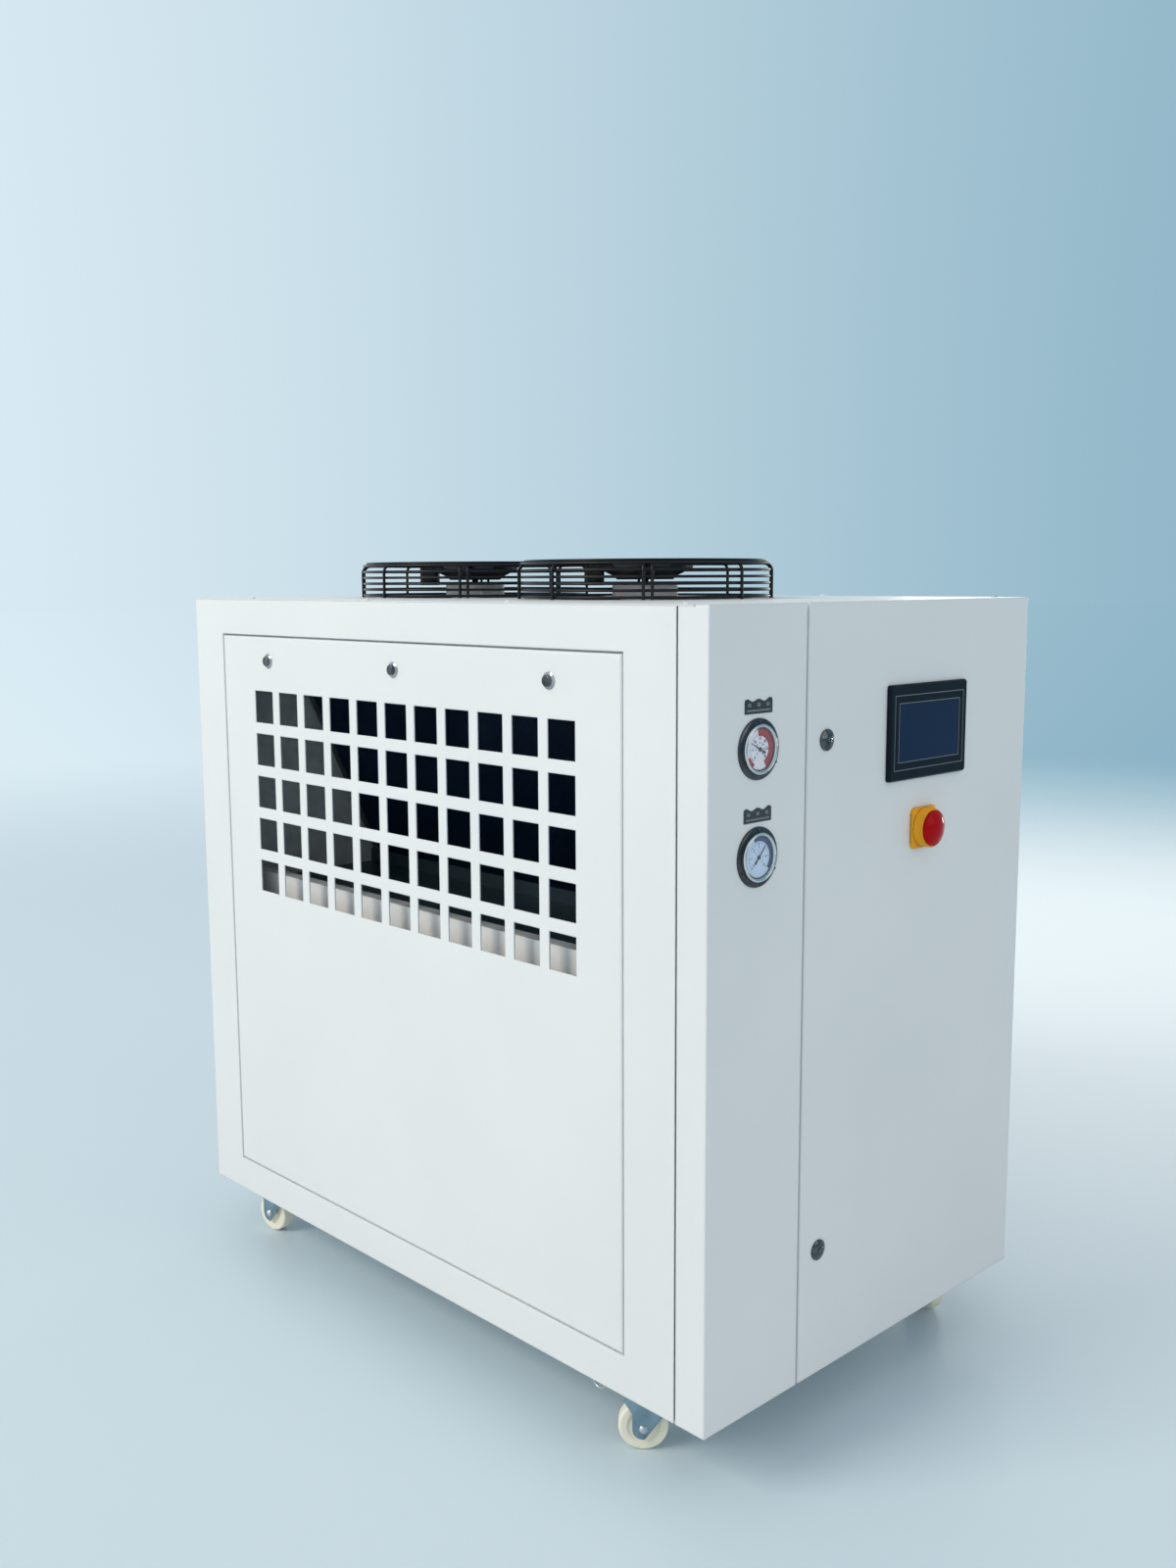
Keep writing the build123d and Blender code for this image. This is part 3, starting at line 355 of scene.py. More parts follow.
def join(name, pieces):
    """One mesh object from several, in the order given."""
    mesh = bmesh.new()
    materials = []
    for piece in pieces:
        start = len(mesh.faces)
        mesh.from_mesh(piece.data)
        mesh.faces.ensure_lookup_table()
        own = list(piece.data.materials)
        for face in mesh.faces[start:]:
            material = own[face.material_index]
            if material not in materials:
                materials.append(material)
            face.material_index = materials.index(material)
        bpy.data.objects.remove(piece)
    return settle(name, mesh, materials)


def cuboid(name, low, high, material):
    """A plain bar or plate between two corners, as raw stock for a joined piece."""
    block = bmesh.new()
    bmesh.ops.create_cube(block, size=1.0)
    for vertex in block.verts:
        vertex.co = [a + (c + 0.5) * (b - a) for a, b, c in zip(low, high, vertex.co)]
    return settle(name, block, [material])


def skin(mesh, rings):
    """Faces between rings of vertices; a ring of one vertex is a tip."""
    for lower, upper in zip(rings, rings[1:]):
        for k in range(max(len(lower), len(upper))):
            corners = (lower[k % len(lower)], lower[(k + 1) % len(lower)],
                       upper[(k + 1) % len(upper)], upper[k % len(upper)])
            corners = list(dict.fromkeys(corners))
            if len(corners) > 2:
                mesh.faces.new(corners)


def tube_bend(name, centre, along_y, span, radius, material, steps=10):
    """A half ring of tube that joins two straight tubes, standing out along Y."""
    mesh = bmesh.new()
    rings = []
    clocks = [2 * pi * k / tube_sides for k in range(tube_sides)]
    for i in range(steps + 1):
        turn = pi * i / steps
        middle = Vector((0, along_y * span / 2 * sin(turn), -span / 2 * cos(turn)))
        out = middle.normalized()
        rings.append([mesh.verts.new(Vector(centre) + middle + radius * (
            cos(clock) * out + sin(clock) * Vector((1, 0, 0)))) for clock in clocks])
    skin(mesh, rings)
    for ring in (rings[0], rings[-1]):
        mesh.faces.new(ring)
    bmesh.ops.recalc_face_normals(mesh, faces=mesh.faces)
    return settle(name, mesh, [material], smooth=True)


fin_coat = finish("coated_fins", (0.018, 0.050, 0.120), (0.030, 0.070, 0.150), (0.28, 0.42), patch=9.0,
                  depth=0.00001, edge=0.0001, Metallic=0.55)
copper = finish("copper_tube", (0.62, 0.28, 0.15), (0.42, 0.18, 0.10), (0.25, 0.45), patch=30.0,
                depth=0.00001, edge=0.0002, Metallic=1.0)
sheet_zinc = finish("tube_sheet_zinc", (0.55, 0.57, 0.60), (0.44, 0.46, 0.49), (0.3, 0.45), patch=20.0,
                    edge=0.0004, Metallic=0.85)
fin_row = fin_tree()
for side, sign in (("left", 1), ("right", -1)):
    low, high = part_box(f"{side}_coil")
    start_y, end_y = low.y + tube_sheet_thickness, high.y - tube_sheet_thickness
    fins = grow(f"{side}_fins", fin_row, {
        "Count": int((end_y - start_y) / fin_pitch), "Pitch": fin_pitch, "Finish": fin_coat,
        "Fin Size": (coil_depth - fin_recess, fin_thickness, coil_slant - fin_recess),
    }, points_mesh("fin_base", [(0, 0, 0)]))
    fins.data.transform(Matrix.Translation((coil_depth / 2, start_y + fin_pitch / 2, coil_slant / 2)))
    stock = [fins]
    for inner_y, out in ((start_y, -1), (end_y, 1)):
        outer_y = inner_y + out * tube_sheet_thickness
        stock.append(cuboid("tube_sheet", (-tube_sheet_lip, min(inner_y, outer_y), 0),
                            (coil_depth + tube_sheet_lip, max(inner_y, outer_y), coil_slant), sheet_zinc))
        for row in range(tube_rows):
            tube_x = coil_depth * (row + 0.5) / tube_rows
            for k in range(0, int(coil_slant / tube_pitch) - 1, 2):
                tube_z = tube_pitch * (k + 1 + (row + (out > 0)) % 2 * 0.5) + tube_pitch / 2
                if tube_z + tube_pitch / 2 <= coil_slant - bend_margin:
                    stock.append(tube_bend("bend", (tube_x, outer_y, tube_z), out, tube_pitch,
                                           tube_radius, copper))
    pack = join(f"{side}_fin_pack", stock)
    pack.data.transform(Matrix.Scale(sign, 4, (1, 0, 0)) @ Matrix.Rotation(radians(coil_lean - 90), 4, "Y"))
    if sign < 0:
        pack.data.flip_normals()
    spots = [vertex.co for vertex in pack.data.vertices]
    shift_x = low.x - min(spot.x for spot in spots) if sign > 0 else high.x - max(spot.x for spot in spots)
    pack.data.transform(Matrix.Translation((shift_x, 0, low.z - min(spot.z for spot in spots))))
    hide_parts(f"{side}_coil")
    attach(pack, "cabinet")


# Each fan is a pressed grey rotor can with five swept black blades, spinning in a black ring
# under the top sheet. The fixed half of its motor hangs from the guard's spokes by a flange,
# with the terminal box on one side.
can_radius = 0.0565
merge_distance, solid_crease = 0.00001, radians(34)


def smoothed(node, body, materials, choose=None):
    """A copy of a CAD node with its facets merged and smoothed, which stands in for it."""
    mesh = bmesh.new()
    mesh.from_mesh(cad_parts[node].data)
    bmesh.ops.remove_doubles(mesh, verts=mesh.verts, dist=merge_distance)
    for face in mesh.faces:
        face.smooth = True
        face.material_index = choose(face.calc_center_median()) if choose else 0
    piece = settle(f"{node}_finished", mesh, materials)
    piece.data.set_sharp_from_angle(angle=solid_crease)
    even = piece.modifiers.new("even", "WEIGHTED_NORMAL")
    even.keep_sharp = True
    piece.data = shown_mesh(piece)
    piece.modifiers.remove(even)
    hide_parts(node)
    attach(piece, body)


fan_black = finish("fan_black", (0.020, 0.022, 0.025), (0.034, 0.036, 0.040), (0.34, 0.50), patch=14.0,
                   grain=500.0, depth=0.00003, edge=0.0006)
can_zinc = finish("rotor_can_zinc", (0.90, 0.92, 0.93), (0.82, 0.84, 0.85), (0.38, 0.52), patch=16.0,
                  edge=0.0008)
for place in ("front", "rear"):
    ring_low, ring_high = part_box(f"fan_ring_{place}")
    axis = (ring_low + ring_high) / 2
    smoothed(f"fan_ring_{place}", "cabinet", [fan_black])
    smoothed(f"fan_rotor_{place}", f"{place}_fan", [can_zinc, fan_black],
             lambda spot: 0 if (spot - axis).xy.length < can_radius else 1)
smoothed("fan_motors", "cabinet", [fan_black])


# Over each fan stands a wire guard: black coated round wires, bent over at the rim and welded to
# rings up the wall and across the top, with a raised round plate that takes the motor's bolts.
guard_radius, guard_height, guard_foot, guard_bend = 0.216, 0.0588, 0.004, 0.013
guard_wire, guard_ring_wire, guard_pair_gap = 0.0054, 0.0046, 0.0140
guard_wall_rings, guard_top_rings = 6, 13
ring_seat = 0.8
plate_radius, plate_top, plate_bottom, plate_lap = 0.0800, 0.0656, 0.0610, 0.01
guard_plate = ((0, plate_top), (0.0740, plate_top), (0.0785, 0.0650), (plate_radius, 0.0632),
               (plate_radius, plate_bottom), (0, plate_bottom))
guard_bolt_circle, guard_bolt_head, guard_washer = 0.0580, (0.0058, 0.0032), (0.0075, 0.001)
guard_diagonals = (45, 135, 225, 315)
turned_crease = radians(32)


def worked(tree, operation, *values):
    """The result of a sum in a tree."""
    wires = {f"in{i}": value for i, value in enumerate(values)}
    return add(tree, "ShaderNodeMath", {"operation": operation}, **wires).outputs[0]


def upright(tree, height):
    """A vector along Z in a tree."""
    return add(tree, "ShaderNodeCombineXYZ", Z=height).outputs[0]


def cage_tree():
    """Bent wires on turned points, rings up the wall and rings across the top, as round tube."""
    tree, size, out = geometry_tree("wire_cage", {
        "Radius": 0.2, "Height": 0.06, "Foot": 0.004, "Hub": 0.07, "Bend": 0.01, "Wire": 0.003,
        "Ring Wire": 0.003, "Wall Rings": 6, "Top Rings": 12})
    math, lift = partial(worked, tree), partial(upright, tree)
    index = add(tree, "GeometryNodeInputIndex").outputs[0]
    reach = math("SUBTRACT", size["Radius"], size["Hub"])
    corner_x = math("MULTIPLY_ADD", math("LESS_THAN", index, 1.5), reach, size["Hub"])
    corner_z = math("MULTIPLY", math("GREATER_THAN", index, 0.5), size["Height"])
    corner = add(tree, "ShaderNodeCombineXYZ", X=corner_x, Z=corner_z)
    route = add(tree, "GeometryNodeMeshLine", Count=3)
    placed = add(tree, "GeometryNodeSetPosition", Geometry=route.outputs[0], Position=corner.outputs[0])
    sharp_bend = add(tree, "GeometryNodeMeshToCurve", Mesh=placed.outputs[0])
    bent = add(tree, "GeometryNodeFilletCurve", {"mode": "POLY"}, Curve=sharp_bend.outputs[0],
               Count=6, Radius=size["Bend"])
    turn = add(tree, "GeometryNodeInputNamedAttribute", {"data_type": "FLOAT"}, Name="turn")
    wires = add(tree, "GeometryNodeInstanceOnPoints", Points=size["Geometry"], Instance=bent.outputs[0],
                Rotation=lift(turn.outputs["Attribute"]))
    ring_radius = math("SUBTRACT", size["Radius"], math("MULTIPLY", size["Wire"], ring_seat))
    ring = add(tree, "GeometryNodeCurvePrimitiveCircle", Resolution=96, Radius=ring_radius)
    wall_height = math("SUBTRACT", size["Height"], size["Foot"])
    climb = math("DIVIDE", wall_height, math("SUBTRACT", size["Wall Rings"], 1.0))
    levels = add(tree, "GeometryNodeMeshLine", Count=size["Wall Rings"], Start_Location=lift(size["Foot"]),
                 Offset=lift(climb))
    wall = add(tree, "GeometryNodeInstanceOnPoints", Points=levels.outputs[0], Instance=ring.outputs[0])
    spread = math("DIVIDE", reach, math("ADD", size["Top Rings"], 1.0))
    ring_scale = math("MULTIPLY_ADD", math("ADD", index, 1.0), spread, size["Hub"])
    roof_height = math("MULTIPLY_ADD", size["Wire"], ring_seat, size["Height"])
    row = add(tree, "GeometryNodeMeshLine", Count=size["Top Rings"], Start_Location=lift(roof_height),
              Offset=(0, 0, 0))
    unit = add(tree, "GeometryNodeCurvePrimitiveCircle", Resolution=96, Radius=1.0)
    widen = add(tree, "ShaderNodeCombineXYZ", X=ring_scale, Y=ring_scale, Z=1.0)
    roof = add(tree, "GeometryNodeInstanceOnPoints", Points=row.outputs[0], Instance=unit.outputs[0],
               Scale=widen.outputs[0])
    rings = add(tree, "GeometryNodeJoinGeometry")
    for part in (roof, wall):
        tree.links.new(part.outputs[0], rings.inputs[0])
    tubes = add(tree, "GeometryNodeJoinGeometry")
    for lines, width in ((rings, size["Ring Wire"]), (wires, size["Wire"])):
        real = add(tree, "GeometryNodeRealizeInstances", Geometry=lines.outputs[0])
        profile = add(tree, "GeometryNodeCurvePrimitiveCircle", Resolution=8,
                      Radius=math("MULTIPLY", width, 0.5))
        tube = add(tree, "GeometryNodeCurveToMesh", Curve=real.outputs[0],
                   Profile_Curve=profile.outputs[0], Fill_Caps=True)
        tree.links.new(tube.outputs[0], tubes.inputs[0])
    smooth = add(tree, "GeometryNodeSetShadeSmooth", Geometry=tubes.outputs[0])
    return close_tree(tree, out, smooth, size["Finish"])


def bolt_tree():
    """Hexagon heads on washers, one on each point, each facing the way its point does."""
    tree, size, out = geometry_tree("bolt_row", {
        "Head Radius": 0.006, "Head Height": 0.004, "Washer Radius": 0.008, "Washer Height": 0.001})
    low = worked(tree, "MULTIPLY", size["Washer Height"], 0.5)
    top = worked(tree, "MULTIPLY_ADD", size["Head Height"], 0.5, size["Washer Height"])
    both = add(tree, "GeometryNodeJoinGeometry")
    for part, sides, height in (("Head", 6, top), ("Washer", 20, low)):
        round_bar = add(tree, "GeometryNodeMeshCylinder", Vertices=sides, Radius=size[f"{part} Radius"],
                        Depth=size[f"{part} Height"])
        moved = add(tree, "GeometryNodeTransform", Geometry=round_bar.outputs[0],
                    Translation=upright(tree, height))
        tree.links.new(moved.outputs[0], both.inputs[0])
    facing = add(tree, "GeometryNodeInputNamedAttribute", {"data_type": "FLOAT_VECTOR"}, Name="facing")
    aim = add(tree, "FunctionNodeAlignRotationToVector", {"axis": "Z"}, Vector=facing.outputs["Attribute"])
    bolts = add(tree, "GeometryNodeInstanceOnPoints", Points=size["Geometry"], Instance=both.outputs[0],
                Rotation=aim.outputs[0])
    return close_tree(tree, out, bolts, size["Finish"])


def bolts_on(name, spots, facing, head, washer, material):
    """Bolts on a list of places, each with its head's and its washer's radius and height."""
    return grow(name, bolt_row, {
        "Head Radius": head[0], "Head Height": head[1], "Washer Radius": washer[0],
        "Washer Height": washer[1], "Finish": material}, points_mesh("bolt_seeds", spots, facing))


def round_spot(radius, angle):
    """The place in X and Y at a radius and an angle."""
    return radius * cos(angle), radius * sin(angle)


def turned(name, profile, material, sides=72):
    """A lathed piece about Z from its profile of radii and heights, closed where it meets the axis."""
    mesh = bmesh.new()
    rings = []
    for radius, height in profile:
        steps = sides if radius > 0 else 1
        rings.append([mesh.verts.new((*round_spot(radius, 2 * pi * k / steps), height))
                      for k in range(steps)])
    skin(mesh, rings)
    bmesh.ops.recalc_face_normals(mesh, faces=mesh.faces)
    piece = settle(name, mesh, [material], smooth=True)
    piece.data.set_sharp_from_angle(angle=turned_crease)
    return piece


guard_black = finish("guard_black_coat", (0.006, 0.007, 0.009), (0.010, 0.011, 0.014), (0.24, 0.36),
                     patch=20.0, edge=0.0002, Specular_IOR_Level=0.25)
bolt_zinc = finish("bolt_zinc", (0.66, 0.68, 0.70), (0.52, 0.54, 0.56), (0.22, 0.36), patch=60.0,
                   edge=0.0004, Metallic=0.9)
cage, bolt_row = cage_tree(), bolt_tree()
pair_spread = degrees(asin(guard_pair_gap / 2 / guard_radius))
wire_turns = [0, 90, 180, 270] + [turn + way * pair_spread for turn in guard_diagonals for way in (-1, 1)]
bolt_seat = plate_top - guard_bolt_head[1] - guard_washer[1]
for place in ("front", "rear"):
    ring_low, ring_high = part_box(f"fan_ring_{place}")
    centre = Vector(((ring_low.x + ring_high.x) / 2, (ring_low.y + ring_high.y) / 2, ring_high.z))
    seeds = points_mesh("wire_seeds", [(0, 0, 0)] * len(wire_turns))
    turns = seeds.attributes.new("turn", "FLOAT", "POINT")
    turns.data.foreach_set("value", [radians(turn) for turn in wire_turns])
    wires = grow("wires", cage, {
        "Radius": guard_radius, "Height": guard_height, "Foot": guard_foot, "Bend": guard_bend,
        "Hub": plate_radius - plate_lap, "Wire": guard_wire, "Ring Wire": guard_ring_wire,
        "Wall Rings": guard_wall_rings, "Top Rings": guard_top_rings, "Finish": guard_black}, seeds)
    plate = turned("guard_plate", guard_plate, guard_black)
    spots = [(*round_spot(guard_bolt_circle, radians(turn)), bolt_seat) for turn in guard_diagonals]
    bolts = bolts_on("guard_bolts", spots, (0, 0, 1), guard_bolt_head, guard_washer, guard_black)
    guard = join(f"fan_guard_{place}_wires", [wires, plate, bolts])
    guard.data.transform(Matrix.Translation(centre))
    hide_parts(f"fan_guard_{place}")
    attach(guard, "cabinet")


# Two panel gauges: a turned chrome case with a broad flange on three screws and a rim, a printed
# dial, a tapered needle and a flat glass. The case and its flange screws are chrome painted dark and
# the rim chrome painted bright, as painted reflection. The upper one has a red arc, the lower a blue
# one. The case's profile is in millimetres, flange down and rim up.
mm = 0.001
gauge_profile = ((0, 0.0010), (29.5, 0.0010), (29.5, 5.2), (30.1, 6.6), (31.0, 7.7), (32.1, 8.1),
                 (33.3, 7.8), (34.2, 6.9), (34.5, 5.6), (34.6, 3.9), (35.4, 3.1), (40.8, 2.9),
                 (42.0, 2.2), (42.5, 1.0), (42.5, 0.0), (31.5, 0.0), (31.5, -36.0), (0, -36.0))
rim_edge, rim_foot = 0.0344, 0.0054
flange_screw = ((0, 0.0022), (0.0012, 0.0021), (0.0022, 0.0014), (0.0026, 0.0), (0, 0.0))
screw_circle, screw_seat, screw_turns = 0.039, 0.0028, (90, -30, 210)
dial_back, dial_height, print_height = 0.0020, 0.0034, 0.0003
glass_back, glass_front = 0.0054, 0.0064
dial_edge, window_radius = 0.0280, 0.0294
shadow_ring = ((dial_edge, dial_height), (dial_edge, dial_height + 0.0008),
               (window_radius, dial_height + 0.0016), (window_radius, dial_height))
scale_radius, scale_start, scale_sweep = 0.0212, radians(225), radians(270)
fine_marks, main_marks = (31, 0.0022, 0.0004), (7, 0.0036, 0.0008)
band_steps = 40
number_radius, number_size = 0.0148, 0.0056
inner_radius, inner_size = 0.0086, 0.0034
needle_low, needle_high = dial_height + 0.0008, dial_height + 0.0011
needle_outline = ((-0.0120, -0.0019), (-0.0040, -0.0011), (0.0205, -0.0004), (0.0205, 0.0004),
                  (-0.0040, 0.0011), (-0.0120, 0.0019))
needle_cap = ((0, 0.0051), (0.0022, 0.0050), (0.0030, 0.0047), (0.0030, 0.0035), (0, 0.0035))
gauge_low, gauge_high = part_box("gauge_cases")
gauge_x = (gauge_low.x + gauge_high.x) / 2
flange_radius = max(gauge_profile)[0] * mm
panel_front_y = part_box("gauge_panel")[0].y
ink_rough = (0.4, 0.5)
ink_black = finish("ink_black", (0.02, 0.02, 0.025), (0.03, 0.03, 0.035), ink_rough, edge=0.0)
ink_red = finish("ink_red", (0.42, 0.010, 0.020), (0.36, 0.008, 0.016), ink_rough, edge=0.0)
ink_blue = finish("ink_blue", (0.02, 0.06, 0.25), (0.02, 0.05, 0.21), ink_rough, edge=0.0)
# Painted reflection: the case and its flange screws are chrome painted dark, the rim chrome painted bright.
chrome = finish("gauge_chrome", (0.10, 0.105, 0.11), (0.06, 0.065, 0.07), (0.06, 0.12), patch=34.0,
                depth=0.0, edge=0.0002, Metallic=1.0)
rim_chrome = finish("gauge_rim_chrome", (0.72, 0.72, 0.71), (0.62, 0.62, 0.61), (0.06, 0.12), patch=30.0,
                    depth=0.0, edge=0.0002, Metallic=1.0)
dial_paint = finish("dial_white", (0.86, 0.86, 0.93), (0.80, 0.80, 0.88), ink_rough, patch=30.0, edge=0.0)
dial_blue = finish("dial_blue", (0.62, 0.76, 0.93), (0.54, 0.70, 0.90), ink_rough, patch=30.0, edge=0.0)
gauge_glass = finish("gauge_glass", (0.90, 0.93, 0.95), (0.88, 0.91, 0.94), (0.02, 0.05), edge=0.0,
                     depth=0.0, Alpha=0.05)


def on_front(x, z):
    """Carries a piece drawn in X and Y, looking up Z, to a place on the control face."""
    return Matrix.Translation((x, panel_front_y, z)) @ Matrix.Rotation(radians(90), 4, "X")


def disc(name, radius, low, high, material, sides=72):
    """A flat round disc between two heights."""
    return turned(name, ((0, high), (radius, high), (radius, low), (0, low)), material, sides)


def prism(name, outline, low, high, material):
    """A flat piece of print or cut stock: an outline in X and Y between two heights."""
    mesh = bmesh.new()
    floor_ring, roof_ring = ([mesh.verts.new((x, y, z)) for x, y in outline] for z in (low, high))
    mesh.faces.new(roof_ring)
    mesh.faces.new(floor_ring[::-1])
    skin(mesh, [floor_ring, roof_ring])
    bmesh.ops.recalc_face_normals(mesh, faces=mesh.faces)
    return settle(name, mesh, [material])


def band(inner, outer, start, end):
    """Outline of a curved band between two radii and two angles in degrees."""
    sweep = [radians(start + (end - start) * i / band_steps) for i in range(band_steps + 1)]
    return [round_spot(outer, turn) for turn in sweep] + [round_spot(inner, turn) for turn in sweep[::-1]]


def tick_tree():
    """Scale marks round a dial, each a thin bar that points at the middle."""
    tree, size, out = geometry_tree("scale_marks", {
        "Count": 31, "Radius": 0.02, "Start": 0.0, "Sweep": 4.7, "Mark": (0.003, 0.0005, 0.0003)})
    math = partial(worked, tree)
    index = add(tree, "GeometryNodeInputIndex").outputs[0]
    share = math("DIVIDE", index, math("SUBTRACT", size["Count"], 1.0))
    angle = math("SUBTRACT", size["Start"], math("MULTIPLY", share, size["Sweep"]))
    spot = add(tree, "ShaderNodeCombineXYZ", X=math("MULTIPLY", math("COSINE", angle), size["Radius"]),
               Y=math("MULTIPLY", math("SINE", angle), size["Radius"]))
    row = add(tree, "GeometryNodeMeshLine", Count=size["Count"])
    placed = add(tree, "GeometryNodeSetPosition", Geometry=row.outputs[0], Position=spot.outputs[0])
    bar = add(tree, "GeometryNodeMeshCube", Size=size["Mark"])
    marks = add(tree, "GeometryNodeInstanceOnPoints", Points=placed.outputs[0], Instance=bar.outputs[0],
                Rotation=upright(tree, angle))
    return close_tree(tree, out, marks, size["Finish"])


def numeral(number, spot, size, height, material):
    """A printed number, centred on its place."""
    curve = bpy.data.curves.new("numeral", "FONT")
    curve.body, curve.size = str(number), size
    curve.align_x, curve.align_y = "CENTER", "CENTER"
    curve.extrude = print_height / 2
    curve.resolution_u = 2
    source = linked("numeral", curve)
    data = shown_mesh(source)
    bpy.data.objects.remove(source)
    data.transform(Matrix.Translation((*spot, height)))
    data.materials.clear()
    data.materials.append(material)
    return linked("numeral", data)


def gauge_case():
    """The turned case, chrome painted dark with its rim painted bright, and the screws on its flange."""
    case = turned("case", [(radius * mm, height * mm) for radius, height in gauge_profile], chrome)
    case.data.materials.append(rim_chrome)
    # The rim's faces take the chrome painted bright, as painted reflection.
    for face in case.data.polygons:
        if face.center.xy.length < rim_edge and face.center.z > rim_foot:
            face.material_index = 1
    pieces = [case]
    for turn in screw_turns:
        screw = turned("flange_screw", flange_screw, chrome, sides=16)
        spot = round_spot(screw_circle, radians(turn))
        screw.data.transform(Matrix.Translation((*spot, screw_seat)))
        pieces.append(screw)
    return pieces


def gauge_face(numbers, needle_turn, ground, bands):
    """The dial with its scale, the shadow round it, its coloured print, numbers and needle."""
    face = [disc("dial", window_radius, dial_back, dial_height, dial_paint)]
    base = dial_height + print_height / 2
    for count, length, width in (fine_marks, main_marks):
        marks = grow("marks", scale_marks, {
            "Count": count, "Radius": scale_radius - length / 2, "Start": scale_start,
            "Sweep": scale_sweep, "Mark": (length, width, print_height), "Finish": ink_black,
        }, points_mesh("tick_seed", [(0, 0, 0)]))
        marks.data.transform(Matrix.Translation((0, 0, base)))
        face.append(marks)
    face.append(turned("shadow_ring", shadow_ring, ink_black))
    if ground:
        ground_top = dial_height + print_height / 4
        face.append(disc("ground", dial_edge, dial_height, ground_top, ground, band_steps))
    for ink, inner, start, end in bands:
        face.append(prism("band", band(inner, dial_edge, start, end), dial_height, base, ink))
    for i, number in enumerate(numbers):
        turn = scale_start - scale_sweep * i / (len(numbers) - 1)
        for radius, size, ink in ((number_radius, number_size, ink_black),
                                  (inner_radius, inner_size, ink_blue)):
            face.append(numeral(number, round_spot(radius, turn), size, base, ink))
    needle = prism("needle", needle_outline, needle_low, needle_high, ink_black)
    needle.data.transform(Matrix.Rotation(radians(needle_turn), 4, "Z"))
    return face + [needle, turned("needle_cap", needle_cap, ink_black, sides=24)]


scale_marks = tick_tree()
cases, prints, glasses = [], [], []
for gauge_z, numbers, needle_turn, ground, bands in (
        (gauge_high.z - flange_radius, range(0, 31, 5), 153, None,
         ((ink_red, 0.0182, 100, -62), (ink_red, 0.0222, 240, 204))),
        (gauge_low.z + flange_radius, range(7), 47, dial_blue, ((ink_blue, 0.0226, 112, -40),))):
    case, face = gauge_case(), gauge_face(numbers, needle_turn, ground, bands)
    glass = disc("glass", window_radius, glass_back, glass_front, gauge_glass)
    for piece in [glass] + case + face:
        piece.data.transform(on_front(gauge_x, gauge_z))
    cases += case
    prints += face
    glasses.append(glass)
gauge_body = join("gauge_bodies", cases)
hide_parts("gauge_cases")
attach(gauge_body, "cabinet")
gauge_print = join("gauge_prints", prints)
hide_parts("gauge_dials")
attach(gauge_print, "cabinet")
gauge_windows = join("gauge_windows", glasses)
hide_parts("gauge_glasses")
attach(gauge_windows, "cabinet")


# A thin black printed plate is stuck above each gauge, with three low crests on its top edge and
# pale marks that stand for its print: three signs over one fine row. Its outline is in millimetres.
label_outline = ((-29, 0), (29, 0), (29, 18), (27.4, 20.3), (24, 21), (20.5, 20.1), (16, 17.4),
                 (12, 16.5), (8, 17.4), (3, 19.6), (0, 20), (-3, 19.6), (-8, 17.4), (-12, 16.5),
                 (-16, 17.2), (-20.5, 19.6), (-24, 20.4), (-27.4, 19.6), (-29, 17.4))
label_out, label_ink, mark_gap, sign_aside = 0.0008, 0.0002, 0.0009, 0.0195
mark_slope = (0.1, 0.8)
row_widths = (0.0030, 0.0044, 0.0022, 0.0052, 0.0034, 0.0040, 0.0026, 0.0048, 0.0030, 0.0038, 0.0034)
sign_widths = (0.0013, 0.0016, 0.0011)
label_rows = ((0.0034, 0.0022, row_widths, (0,)),
              (0.0098, 0.0048, sign_widths, (-sign_aside, 0, sign_aside)))
plate_black = finish("plate_black", (0.025, 0.03, 0.035), (0.035, 0.04, 0.045), (0.30, 0.42), edge=0.0003)
ink_pale = finish("ink_pale", (0.30, 0.33, 0.34), (0.25, 0.28, 0.29), ink_rough, edge=0.0)
label_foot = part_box("label_plates")[0].z
marks = []
for foot_z in (label_foot, label_foot + (gauge_high.z - gauge_low.z) - 2 * flange_radius):
    pieces = [prism("label_plate", [(x * mm, y * mm) for x, y in label_outline], 0.0, label_out, plate_black)]
    for low, tall, widths, middles in label_rows:
        for middle in middles:
            left = middle - (sum(widths) + mark_gap * (len(widths) - 1)) / 2
            for width in widths:
                outline = ((left, low), (left + width, low), (left + width * mark_slope[1], low + tall),
                           (left + width * mark_slope[0], low + tall))
                pieces.append(prism("label_mark", outline, label_out - label_ink, label_out + label_ink,
                                    ink_pale))
                left += width + mark_gap
    for piece in pieces:
        piece.data.transform(on_front(gauge_x, foot_z))
    marks += pieces
label_print = join("label_print", marks)
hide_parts("label_plates")
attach(label_print, "cabinet")


# The operator panel is a near-black moulded bezel with two fine pale lines round a dark blue
# screen of glass.
line_insets = ((0.011, 0.016), (0.0218, 0.0278))
line_width, line_rise = 0.0010, 0.0002
hmi_black = finish("hmi_black", (0.006, 0.011, 0.019), (0.008, 0.014, 0.024), (0.28, 0.38), patch=12.0,
                   edge=0.0006, Specular_IOR_Level=0.08)
hmi_line = finish("hmi_line", (0.20, 0.24, 0.27), (0.17, 0.21, 0.24), (0.35, 0.45), edge=0.0)
screen_glass = finish("screen_glass", (0.004, 0.016, 0.052), (0.006, 0.021, 0.064), (0.05, 0.09),
                      patch=5.0, depth=0.0, edge=0.0, Specular_IOR_Level=0.16)
hmi_low, hmi_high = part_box("hmi_case")
paint_nodes(hmi_black, ["hmi_case"])
paint_nodes(screen_glass, ["hmi_screen"])
lines = []
